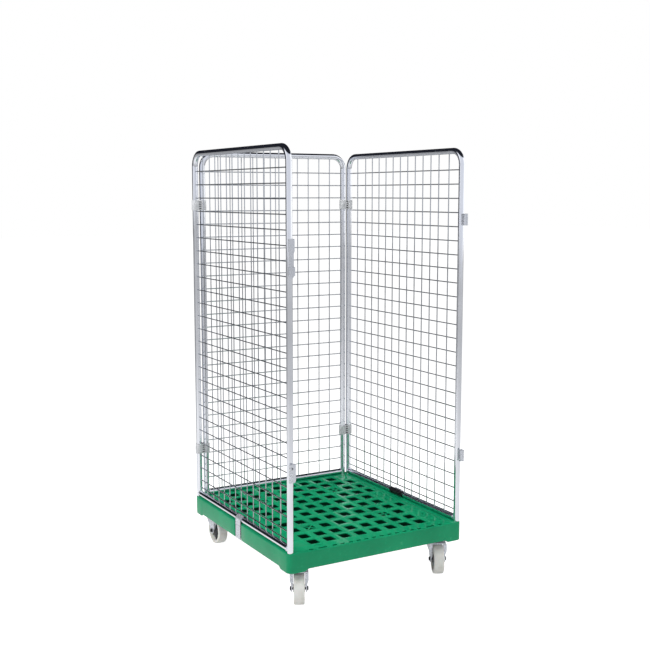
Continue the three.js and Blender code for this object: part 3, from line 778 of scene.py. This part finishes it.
def cell_bars():
    """Diagonal bars across two of the holes and a square cross over two others."""
    top = DECK_TOP - 0.0004
    reach = math.hypot(*HOLE_HALF) + 0.001
    angle = math.degrees(math.atan2(HOLE_HALF[1], HOLE_HALF[0]))

    def bar(half_x, half_y):
        return block((-half_x, -half_y, top - BAR_DEPTH), (half_x, half_y, top))

    bars = []
    for y in (-BARRED_CELL * ROW_PITCH, BARRED_CELL * ROW_PITCH):
        middle = move(-BARRED_CELL * COLUMN_PITCH, y, 0)
        for slope in (-angle, angle):
            bars.append(placed(bar(reach, BAR_HALF), middle @ turn(slope, "Z")))
        middle = move(BARRED_CELL * COLUMN_PITCH, y, 0)
        bars.append(placed(bar(HOLE_HALF[0] + 0.001, BAR_HALF), middle))
        bars.append(placed(bar(BAR_HALF, HOLE_HALF[1] + 0.001), middle))
    return joined(*bars)


corner_names = ("front_left", "front_right", "rear_left", "rear_right")
base_nodes = ["base_deck", "base_skirt", *[f"base_{corner}_block" for corner in corner_names]]
add_piece("base_moulding", base_moulding(), "base", "green_plastic", centred, base_nodes)
add_piece("base_cell_bars", cell_bars(), "base", "green_plastic", centred, edge=0.0006)

# ---- Panels: bent tube, rail, wires ----

BEND_STEPS = 18
COPE = 0.003  # how far a rail or wire runs into its post


def frame_path(half):
    bend = half - BEND_RADIUS, TOP_BAR - BEND_RADIUS
    right = [*arc(BEND_RADIUS, 90, 0, BEND_STEPS, *bend), (half, POST_FOOT)]
    return [(x, 0, z) for x, z in [*mirrored(right), *right]]


def weld_ring(x, facing, rng):
    """An uneven bead where a rail meets its post."""
    bm = bmesh.new()
    around, across = 28, 6
    grid = []
    for k in range(around):
        angle = math.tau * k / around
        bead = 0.0016 + 0.0006 * math.sin(angle * 9 + rng.uniform(-0.8, 0.8))
        ring = []
        for j in range(across):
            bead_angle = math.tau * j / across
            radius = TUBE_RADIUS + 0.0002 + bead * math.cos(bead_angle) * 0.7
            along = x - facing * abs(math.cos(angle)) * 0.0012 + bead * math.sin(bead_angle)
            place = (along, radius * math.cos(angle), RAIL_HEIGHT + radius * math.sin(angle))
            ring.append(bm.verts.new(place))
        grid.append(ring)
    for k in range(around):
        for j in range(across):
            here, after = grid[k], grid[(k + 1) % around]
            bm.faces.new((here[j], here[(j + 1) % across], after[(j + 1) % across], after[j]))
    return to_mesh(bm)


def panel_wires(name, half):
    """Welded mesh: uprights on the inside, level wires on the outside."""
    side_end = half - TUBE_RADIUS + COPE
    top_end = TOP_BAR - TUBE_RADIUS + COPE
    foot = RAIL_HEIGHT + TUBE_RADIUS - COPE
    is_side = name != "back"
    positions = [k * UPRIGHT_PITCH for k in range(-5, 6)]
    if is_side:
        positions += [-OUTER_UPRIGHT, OUTER_UPRIGHT]
    paths = []
    for x in positions:
        start = LOW_WIRE if is_side and x == 0 else foot
        paths.append([(x, -WIRE_LAYER, start), (x, -WIRE_LAYER, top_end)])
    levels = [TOP_BAR - TOP_WIRE_DROP - k * WIRE_PITCH for k in range(LEVEL_WIRES)]
    if is_side:
        levels.append(LOW_WIRE)
    for z in levels:
        paths.append([(-side_end, WIRE_LAYER, z), (side_end, WIRE_LAYER, z)])
    return round_bars(paths, WIRE_RADIUS, 2)


def add_panel(name):
    half = panel_half[name]
    place = panel_place[name]
    body = f"{name}_panel"
    rng = random.Random(name)
    tube = round_bars([frame_path(half)], TUBE_RADIUS, 14)
    add_piece(f"{name}_tube", tube, body, "plated_tube", place, [f"{name}_frame_tube"])
    end = half - TUBE_RADIUS + COPE
    rail = round_bars([[(-end, 0, RAIL_HEIGHT), (end, 0, RAIL_HEIGHT)]], TUBE_RADIUS - 0.0001, 14)
    beads = [weld_ring(sign * (half - TUBE_RADIUS), sign, rng) for sign in (-1, 1)]
    rail = joined(rail, *beads)
    add_piece(f"{name}_rail", rail, body, "plated_tube", place, [f"{name}_bottom_rail"])
    wires = panel_wires(name, half)
    add_piece(f"{name}_wires", wires, body, "plated_wire", place, [f"{name}_wire_mesh"])


for panel in panel_place:
    add_panel(panel)

# ---- Locking tabs and rail saddles ----

# Turns a prism of an outline (Y, Z) so that it is raised along X.
standing_x = Matrix(((0, 0, 1, 0), (1, 0, 0, 0), (0, 1, 0, 0), (0, 0, 0, 1)))
TAB_HALF = 0.020
TAB_SHEET = 0.003
TAB_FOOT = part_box("left_lock_tab")[0].z
SADDLE_HALF = 0.042
SADDLE_SHEET = 0.0024


def lock_tab():
    inner = TUBE_RADIUS + GAP
    outer = inner + TAB_SHEET
    foot = TAB_FOOT - RAIL_HEIGHT
    outline = [(outer, foot), *arc(outer, 0, 100, 12), *arc(inner, 100, 0, 12), (inner, foot)]
    strap = placed(prism(outline, -TAB_HALF, TAB_HALF), move(0, 0, RAIL_HEIGHT) @ standing_x)
    dome = [(0, -0.0011), (0.0042, -0.0011), (0.0042, 0.0004), (0.003, 0.0011), (0, 0.0013)]
    rivet = placed(turned(dome, 24), turn(-90, "X"))
    half = TAB_HALF / 2
    rivets = [placed(rivet, move(x, outer, RAIL_HEIGHT - 0.024)) for x in (-half, half)]
    return joined(strap, *rivets)


def rail_saddle():
    inner = TUBE_RADIUS + GAP
    outline = [*arc(inner + SADDLE_SHEET, 112, 235, 14), *arc(inner, 235, 112, 14)]
    return placed(prism(outline, -SADDLE_HALF, SADDLE_HALF), move(0, 0, RAIL_HEIGHT) @ standing_x)


def saddle_bolts():
    head = placed(hexagon_head(0.0056, 0.0034), turn(90, "X"))
    face = -(TUBE_RADIUS + GAP + SADDLE_SHEET - 0.0003)
    reach = SADDLE_HALF * 2 / 3
    return joined(*[placed(head, move(x, face, RAIL_HEIGHT)) for x in (-reach, reach)])


for panel in ("left", "right"):
    body = f"{panel}_panel"
    place = panel_place[panel]
    add_piece(f"{panel}_tab", lock_tab(), body, "zinc_steel", place, [f"{panel}_lock_tab"], 0.0006)
    saddle_nodes = [f"{panel}_rail_saddle"]
    add_piece(f"{panel}_saddle", rail_saddle(), body, "black_steel", place, saddle_nodes, 0.0006)
    add_piece(f"{panel}_saddle_bolts", saddle_bolts(), body, "black_steel", place, edge=0.0004)

# ---- Corner clips ----

CLIP_RADIUS = 0.0142
CLIP_HALF_DEPTH = 0.012
CLIP_MEET = (POST_X - BACK_POST_X) / 2
TONGUE = 0.0018
GROOVE_PLAY = 0.0008
TOOTH = 0.0044
TOOTH_LENGTH = 0.0048
TOOTH_DEPTH = 0.0055
CLIP_SLOT_HALF = 0.0022


def clip_half(tongue, play, teeth, height):
    """One half about its post, the other post towards +X; teeth are notches in its mating edge."""
    meet = CLIP_MEET - GAP / 2
    start = math.degrees(math.asin(CLIP_HALF_DEPTH / CLIP_RADIUS))
    root = 0.0035 + play
    tip = 0.0050 + play
    outline = [
        *arc(CLIP_RADIUS, start, 360 - start, 40), (meet, -CLIP_HALF_DEPTH), (meet, -root),
        (meet + tongue, -tip), (meet + tongue, tip), (meet, root), (meet, CLIP_HALF_DEPTH),
    ]
    bore = arc(TUBE_RADIUS + 0.0001, 0, 352.5, 47)
    mesh = sheet([outline, bore], -height / 2, height / 2, 0.0009)
    notches = tooth_blocks(teeth, CLIP_HALF_DEPTH + 0.001, meet - TOOTH_LENGTH, meet + 0.001)
    back = -CLIP_RADIUS
    slot = block((back - 0.001, -CLIP_SLOT_HALF, -height), (back + 0.0016, CLIP_SLOT_HALF, height))
    return boolean(mesh, joined(*notches, slot))


def tooth_blocks(teeth, outside, near, far):
    """A block at each level on both faces of a clip, from outside down to the teeth's root."""
    blocks = []
    for z in teeth:
        for side in (-1, 1):
            y0, y1 = sorted((side * outside, side * (CLIP_HALF_DEPTH - TOOTH_DEPTH)))
            blocks.append(block((near, y0, z - TOOTH / 2), (far, y1, z + TOOTH / 2)))
    return blocks


def notch_shade_pads(teeth):
    """Dark blocks down in the notches of a clip half: painted shade, not parts of the clip."""
    reach = CLIP_MEET - GAP
    return joined(*tooth_blocks(teeth, CLIP_HALF_DEPTH - 0.0008, reach - TOOTH_LENGTH + GAP, reach))


def add_clips():
    for level in ("upper", "lower"):
        low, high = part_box(f"left_{level}_clip_side_half")
        height = high.z - low.z
        middle = (low.z + high.z) / 2
        teeth = [(k - 1.5) * height / 4.5 for k in range(4)]
        for name, side in (("left", -1), ("right", 1)):
            facing = 180 if side > 0 else 0
            level_place = centred @ move(0, POST_Y, middle)
            side_place = level_place @ move(side * POST_X, 0, 0) @ turn(facing, "Z")
            back_place = level_place @ move(side * BACK_POST_X, 0, 0) @ turn(facing + 180, "Z")
            node = f"{name}_{level}_clip"
            body = f"{name}_panel"
            half = clip_half(TONGUE, 0, teeth, height)
            nodes = [f"{node}_side_half"]
            add_piece(f"{node}_outer", half, body, "clip_plastic", side_place, nodes)
            # Painted shade: dark blocks put down in the notches, where there is only shade.
            pads = notch_shade_pads(teeth)
            add_piece(f"{node}_painted_notch_shade", pads, body, "clip_plastic", side_place, finish=DARK_CORE_AND_NOTCH_SHADE)
            half = clip_half(-TONGUE - GAP, GROOVE_PLAY, teeth, height)
            nodes = [f"{node}_back_half"]
            add_piece(f"{node}_inner", half, "back_panel", "clip_plastic", back_place, nodes)


add_clips()

# ---- Fittings on the front posts, drawn in front of a post that stands at the origin ----

left_front = centred @ move(-POST_X, -POST_Y, 0)
right_front = centred @ move(POST_X, -POST_Y, 0)
standing_y = turn(90, "X")  # outline (X, Z), raised towards -Y
POST_FACE = TUBE_RADIUS + GAP
FITTING_HALF = 0.011
FITTING_FRONT = 0.021
BOLT_HALF = 0.008
BOLT_NEAR = 0.0134
BOLT_FAR = 0.018


def bolt_passage(low, high):
    half = BOLT_HALF + GAP
    return block((-half, -BOLT_FAR - GAP, low), (half, -BOLT_NEAR + GAP, high))


def latch_guide():
    low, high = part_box("left_latch_guide")
    body = block((-FITTING_HALF, -FITTING_FRONT, low.z), (FITTING_HALF, -POST_FACE, high.z))
    return boolean(body, bolt_passage(low.z - 0.001, high.z + 0.001))


def drop_bolt():
    low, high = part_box("left_drop_bolt")
    tip = low.z
    top = high.z
    grip = top - 0.046
    corner = 0.003
    outline = [
        (-BOLT_HALF, grip), (-BOLT_HALF, tip + 0.006), (-BOLT_HALF / 2, tip), (BOLT_HALF / 2, tip),
        (BOLT_HALF, tip + 0.006), (BOLT_HALF, grip), (FITTING_HALF, grip + 0.005),
        *arc(corner, 0, 90, 4, FITTING_HALF - corner, top - corner),
        *arc(corner, 90, 180, 4, corner - FITTING_HALF, top - corner),
        (-FITTING_HALF, grip + 0.005),
    ]
    return placed(prism(outline, BOLT_NEAR, BOLT_FAR), standing_y)


def bolt_keeper():
    low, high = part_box("left_bolt_keeper")
    floor = low.z + 0.010
    outline = [
        (-POST_FACE, low.z), (-POST_FACE, high.z), (-FITTING_FRONT, high.z),
        (-FITTING_FRONT, floor), (-POST_FACE - 0.003, low.z),
    ]
    body = placed(prism(outline, -FITTING_HALF, FITTING_HALF), standing_x)
    body = boolean(body, bolt_passage(floor, high.z + 0.001))
    drill = placed(prism(circle(0.0032), 0, 0.03), standing_y)
    drill_place = move(-0.002, -FITTING_FRONT + 0.025, high.z - 0.014)
    return boolean(body, placed(drill, drill_place))


SLEEVE_HALF = 0.008
SLEEVE_SHEET = 0.0025
SLEEVE_WINDOW = (0.018, 0.0275)
SLEEVE_MARGIN = 0.004


def door_sleeve(node):
    """A strip bent round a half-circle nose, welded to the post, with a window in its left wall."""
    low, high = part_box(node)
    nose = low.y - (MIDDLE_Y - POST_Y) + SLEEVE_HALF
    inner = SLEEVE_HALF - SLEEVE_SHEET

    def nosed(half, back, steps):
        return [(-half, back), *arc(half, 180, 360, steps, 0, nose), (half, back)]

    body = prism(nosed(SLEEVE_HALF, -POST_FACE, 20), low.z, high.z)
    bore = prism(nosed(inner, -POST_FACE + 0.002, 16), low.z - 0.001, high.z + 0.001)
    body = boolean(body, bore)
    near, far = SLEEVE_WINDOW
    window_low = (-SLEEVE_HALF - 0.001, -far, low.z + SLEEVE_MARGIN)
    return boolean(body, block(window_low, (0, -near, high.z - SLEEVE_MARGIN)))


def fitting(name, mesh, body, place, node):
    add_piece(name, mesh, body, "zinc_steel", place, [node], 0.0007)


fitting("left_guide", latch_guide(), "left_panel", left_front, "left_latch_guide")
fitting("left_bolt", drop_bolt(), "drop_bolt", left_front, "left_drop_bolt")
fitting("left_keeper", bolt_keeper(), "left_panel", left_front, "left_bolt_keeper")
for level in ("upper", "lower"):
    node = f"right_{level}_door_sleeve"
    fitting(f"right_{level}_sleeve", door_sleeve(node), "right_panel", right_front, node)

# ---- Casters, drawn about the pivot with the axle along X ----

PLATE_BOLT = (0.0385, 0.030)
LEG_OUTER = 0.032
LEG_TUCK = 0.005
FORK_SHEET = 0.0032
FLANGE_INNER = 0.0200
FLANGE_SHEET = 0.0036
AXLE_RADIUS = 0.005
WHEEL_WIDTH = 0.037
WHEEL_RADIUS = 0.0545
WEB_RADIUS = 0.0408
FORK_SHOULDER = WHEEL_RADIUS + 0.035
ACROSS = 0.04  # further than a fork reaches to either side
ALONG = 0.08  # and to the front and back


def caster_plate(low, high):
    half_x = (high.x - low.x) / 2
    half_y = (high.y - low.y) / 2
    top = high.z
    bottom = top - 0.0035
    mesh = sheet([rounded_outline(half_x, half_y, 0.006)], bottom, top, 0.0006)
    head = placed(hexagon_head(0.0058, 0.0048), turn(180, "X"))
    heads = [
        placed(head, move(sx * PLATE_BOLT[0], sy * PLATE_BOLT[1], bottom + 0.0003))
        for sx in (-1, 1) for sy in (-1, 1)
    ]
    return joined(mesh, *heads)


def kingpin(low, high):
    """Ball race housing with its dust lip, pin and the lower flange that carries the fork."""
    crown = low.z + 0.006
    race = crown + FORK_SHEET + GAP
    top = high.z
    return turned([
        (0, low.z), (0.0078, low.z), (0.0093, low.z + 0.0015),
        (0.0093, crown - 0.0002), (0.006, crown - 0.0002),
        (0.006, race + 0.0002), (0.0225, race + 0.0002), (0.0262, race + 0.0022),
        (0.0270, race + 0.0045), (0.0262, race + 0.0058), (0.0255, race + 0.0064),
        (0.0262, race + 0.0072), (0.0266, top - 0.0040),
        (0.0240, top - 0.0012), (0.0215, top), (0, top),
    ], 64)


def fork_flanges(top, crown_back, ear_back):
    """The rear edge of each leg is folded inwards; the fold narrows towards the axle."""
    shoulder = FORK_SHOULDER
    outer = LEG_OUTER - 0.0004
    tuck = LEG_OUTER - LEG_TUCK - 0.0004
    fold = [
        (FLANGE_INNER, top - 0.004), (outer, top - 0.006), (outer, shoulder),
        (tuck, shoulder - 0.018), (tuck, WHEEL_RADIUS + 0.004),
        (tuck - 0.0035, WHEEL_RADIUS + 0.005), (FLANGE_INNER, WHEEL_RADIUS + 0.014),
    ]
    folds = joined(
        placed(prism(fold, -ALONG, ALONG), standing_y),
        placed(prism(mirrored(fold), -ALONG, ALONG), standing_y),
    )
    edge = [(crown_back, top - 0.001), (crown_back, shoulder + 0.006), (ear_back, WHEEL_RADIUS)]
    strip = [*edge, *[(y + FLANGE_SHEET, z) for y, z in edge[::-1]]]
    return boolean(folds, placed(prism(strip, -ACROSS, ACROSS), standing_x), "INTERSECT")


def fork(top, axle_y, is_swivel):
    """Bent sheet fork: its front view crossed with its side view, and a folded rear edge."""
    bottom_half = LEG_OUTER - LEG_TUCK
    shoulder = FORK_SHOULDER
    waist = WHEEL_RADIUS + 0.015
    leg_foot = WHEEL_RADIUS - 0.0135
    radius = 0.006

    def half_section(inset):
        points = arc(radius - inset, 90, 0, 5, LEG_OUTER - radius, top - radius)
        foot_half = bottom_half - inset
        for k in range(7):
            tuck = LEG_TUCK * smooth_step(1 - k / 6)
            points.append((foot_half + tuck, shoulder - (shoulder - waist) * k / 6))
        return [*points, (foot_half, leg_foot)]

    outside = half_section(0)
    inside = half_section(FORK_SHEET)
    front = [*mirrored(outside), *outside, *inside[::-1], *mirrored(inside)[::-1]]
    crown_front = 0.030 if is_swivel else 0.034
    crown_back = min(-0.030, axle_y - 0.014) if is_swivel else -0.034
    ear = 0.013
    side = [
        (crown_back, top + 0.001), (crown_back, shoulder + 0.006),
        *arc(ear, 190, 350, 18, axle_y, WHEEL_RADIUS),
        (crown_front - 0.006, shoulder), (crown_front, shoulder + 0.010),
        (crown_front, top + 0.001),
    ]
    mesh = placed(prism(front, -ALONG, ALONG), standing_y)
    mesh = boolean(mesh, placed(prism(side, -ACROSS, ACROSS), standing_x), "INTERSECT")
    mesh = boolean(mesh, fork_flanges(top, crown_back, axle_y - ear), "UNION")
    hole = placed(prism(circle(AXLE_RADIUS + GAP), -ACROSS, ACROSS), standing_x)
    mesh = boolean(mesh, placed(hole, move(0, axle_y, WHEEL_RADIUS)))
    if is_swivel:
        mesh = boolean(mesh, prism(circle(0.0064), top - 0.009, top + 0.002))
    return mesh


def wheel_body():
    """Rim and tread: crowned running face, rounded shoulders, recessed sides."""
    half = WHEEL_WIDTH / 2
    bend = 0.0042
    shoulder = arc(bend, 88, 18, 6, half - bend, WHEEL_RADIUS - bend - 0.0004)[::-1]
    section = [
        (0.0405, 0.0065), (0.0415, half - 0.0012), (0.0425, half), *[(r, x) for x, r in shoulder],
        (WHEEL_RADIUS - 0.0001, 0.006), (WHEEL_RADIUS, 0.0),
    ]
    return turned([*section, *[(r, -x) for r, x in section[-2::-1]]], 96)


def wheel_core():
    """Web and hub inside the rim, with a groove ring on each side."""
    bore = AXLE_RADIUS + 0.0004
    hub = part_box("caster_rear_left_wheel")
    hub_half = (hub[1].x - hub[0].x) / 2
    section = [
        (bore, hub_half), (0.0125, hub_half), (0.014, hub_half - 0.0015),
        (0.0155, 0.0085), (0.0175, 0.0070), (0.0250, 0.0066), (0.0262, 0.0080),
        (0.0280, 0.0080), (0.0292, 0.0066), (0.0400, 0.0062), (WEB_RADIUS, 0.0062),
    ]
    return turned([*section, *[(r, -x) for r, x in section[::-1]]], 72)


def wheel_ribs():
    """Radial ribs that stiffen the web on both sides."""
    ribs = []
    for k in range(8):
        for side in (-1, 1):
            low, high = sorted((side * 0.0060, side * 0.0105))
            rib = block((0.014, -0.0011, low), (WEB_RADIUS, 0.0011, high))
            ribs.append(placed(rib, turn(45 * k, "Z")))
    return joined(*ribs)


def axle_bolt():
    inner = LEG_OUTER - LEG_TUCK + GAP
    pin = turned([(0, -inner), (AXLE_RADIUS, -inner), (AXLE_RADIUS, inner), (0, inner)], 32)
    washer = turned([(0, 0), (0.0082, 0), (0.0082, 0.001), (0.0078, 0.0013), (0, 0.0013)], 36)
    head = placed(hexagon_head(0.0073, 0.0032), move(0, 0, 0.0013))
    ends = []
    for facing in (0, 180):
        ends.append(placed(joined(washer, head), turn(facing, "X") @ move(0, 0, inner)))
    return joined(pin, *ends)


along_x = turn(90, "Y")


def add_caster(name):
    low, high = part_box(f"caster_{name}_plate")
    pivot = move((low.x + high.x) / 2, (low.y + high.y) / 2, 0)
    node = f"caster_{name}"
    is_swivel = name.startswith("front")

    def part(ending, mesh, body, slot, place, nodes, **options):
        replaced = [f"{node}_{end}" for end in nodes]
        add_piece(f"{node}_{ending}", mesh, body, slot, place, replaced, **options)

    part("top_plate", caster_plate(low, high), "base", "zinc_steel", pivot, ["plate"])

    spin = joints[f"{name}_wheel_spin"]
    axle = Vector(spin["pos_m"])
    heading = math.degrees(math.atan2(spin["axis"][1], spin["axis"][0]))
    axle_place = move(*axle) @ turn(heading, "Z") @ along_x
    carrier = "base"
    trail = 0.0
    if is_swivel:
        carrier = f"{name}_swivel"
        trail = -math.hypot(axle.x - pivot.translation.x, axle.y - pivot.translation.y)
        race = kingpin(*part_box(f"{node}_kingpin"))
        part("ball_race", race, "base", "zinc_steel", pivot, ["kingpin"])
    yoke = fork(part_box(f"{node}_fork")[1].z, trail, is_swivel)
    yoke_place = pivot @ turn(heading, "Z")
    part("yoke", yoke, carrier, "zinc_steel", yoke_place, ["fork"], edge=0.0007)
    part("axle_bolt", axle_bolt(), carrier, "black_steel", axle_place, ["axle"])
    wheel = f"{name}_wheel"
    part("tread", wheel_body(), wheel, "wheel_nylon", axle_place, ["wheel"])
    core = joined(wheel_core(), wheel_ribs())
    part("core", core, wheel, "wheel_nylon", axle_place, [], finish=DARK_CORE_AND_NOTCH_SHADE, edge=0.0003)


for corner in corner_names:
    add_caster(corner)

# ---- Camera, floor and light ----

CAMERA_PLACE = Vector((-1.90657, MIDDLE_Y - 3.32528, 1.38029))
CAMERA_HEADING = 29.946  # degrees from +Y towards +X
CAMERA_TILT = 7.206  # degrees below the horizon
CAMERA_LENS = 57.07  # millimetres on a 36 millimetre sensor

camera_data = bpy.data.cameras.new("camera")
camera_data.lens = CAMERA_LENS
camera = new_object("camera", camera_data)
camera.location = CAMERA_PLACE
camera.rotation_euler = (math.radians(90 - CAMERA_TILT), 0, math.radians(-CAMERA_HEADING))
scene.camera = camera
scene.view_settings.view_transform = "Standard"

AHEAD = math.radians(CAMERA_HEADING)
FORWARD = Vector((math.sin(AHEAD), math.cos(AHEAD), 0))
RIGHTWARD = Vector((FORWARD.y, -FORWARD.x, 0))


def add_floor():
    """White to the eye; to everything else a dimmer pale floor, dimmest behind the object."""
    bm = bmesh.new()
    bmesh.ops.create_grid(bm, x_segments=8, y_segments=8, size=30)
    floor = new_object("floor", to_mesh(bm, "floor"))
    finish = Finish("floor", Roughness=0.9, Specular_IOR_Level=0.0)
    nearness = finish.spread(finish.axes()[1], 0.6, 2.0, 1.0, 0.55)
    shade = finish.times(finish.spread(finish.noise(2, 3), 0.3, 0.7, 0.38, 0.42), nearness)
    finish.feed("Base Color", shade)
    finish.shader.inputs["Emission Color"].default_value = (1, 1, 1, 1)
    seen = finish.node("ShaderNodeLightPath").node.outputs["Is Camera Ray"]
    dim = finish.times(nearness, 0.44)
    finish.feed("Emission Strength", finish.spread(seen, 0.0, 1.0, dim, 0.99))
    floor.data.materials.append(finish.material)


def add_area(name, place, size, power, target=Vector((0, 0, 0.6))):
    data = bpy.data.lights.new(name, "AREA")
    data.shape = "RECTANGLE"
    data.size, data.size_y = size
    data.energy = power
    light = new_object(name, data)
    light.location = place
    light.visible_glossy = False
    light.rotation_euler = (target - place).to_track_quat("-Z", "Y").to_euler()


def studio_world():
    """White for the eye; for reflections a bright room with a dark ceiling and a dark left wall."""
    world = bpy.data.worlds.new("studio")
    scene.world = world
    tree = Tree(world)
    direction = tree.node("ShaderNodeTexCoord").node.outputs["Generated"]

    def along(axis):
        inputs = {0: direction, 1: axis}
        product = tree.node("ShaderNodeVectorMath", inputs, operation="DOT_PRODUCT")
        return product.node.outputs["Value"]

    ahead = along(FORWARD)
    height = tree.add(along((0, 0, 1)), tree.times(ahead, 0.3))
    ceiling = tree.spread(height, 0.5, 0.64, 1.0, 0.0)
    left_wall = tree.spread(along(FORWARD * 0.82 - RIGHTWARD * 0.57), 0.42, 0.62, 1.0, 0.0)
    behind = tree.spread(ahead, -0.7, 0.0, 0.64, 1.0)
    room = tree.times(ceiling, tree.times(left_wall, behind))
    dark, middle, bright = (0.012, 0.013, 0.018), (0.47, 0.49, 0.55), (1.0, 1.0, 1.0)
    colour = tree.ramp(room, (0.0, dark), (0.5, middle), (1.0, bright))
    lit = tree.node("ShaderNodeBackground", {"Color": colour, "Strength": 1.25})
    white = tree.node("ShaderNodeBackground", {"Color": (1, 1, 1, 1), "Strength": 1.0})
    seen = tree.node("ShaderNodeLightPath").node.outputs["Is Camera Ray"]
    mixed = tree.node("ShaderNodeMixShader", {0: seen, 1: lit, 2: white})
    tree.tree.links.new(mixed, tree.tree.nodes["World Output"].inputs["Surface"])


add_floor()
studio_world()
LEFTWARD = -RIGHTWARD
add_area("key", LEFTWARD * 3.0 - FORWARD * 1.2 + Vector((0, 0, 3.0)), (1.6, 1.6), 100)
add_area("fill", RIGHTWARD * 2.2 - FORWARD * 2.4 + Vector((0, 0, 3.2)), (1.4, 1.4), 20)
add_area("top", Vector((0.2, 0.3, 3.4)), (1.8, 1.8), 88)
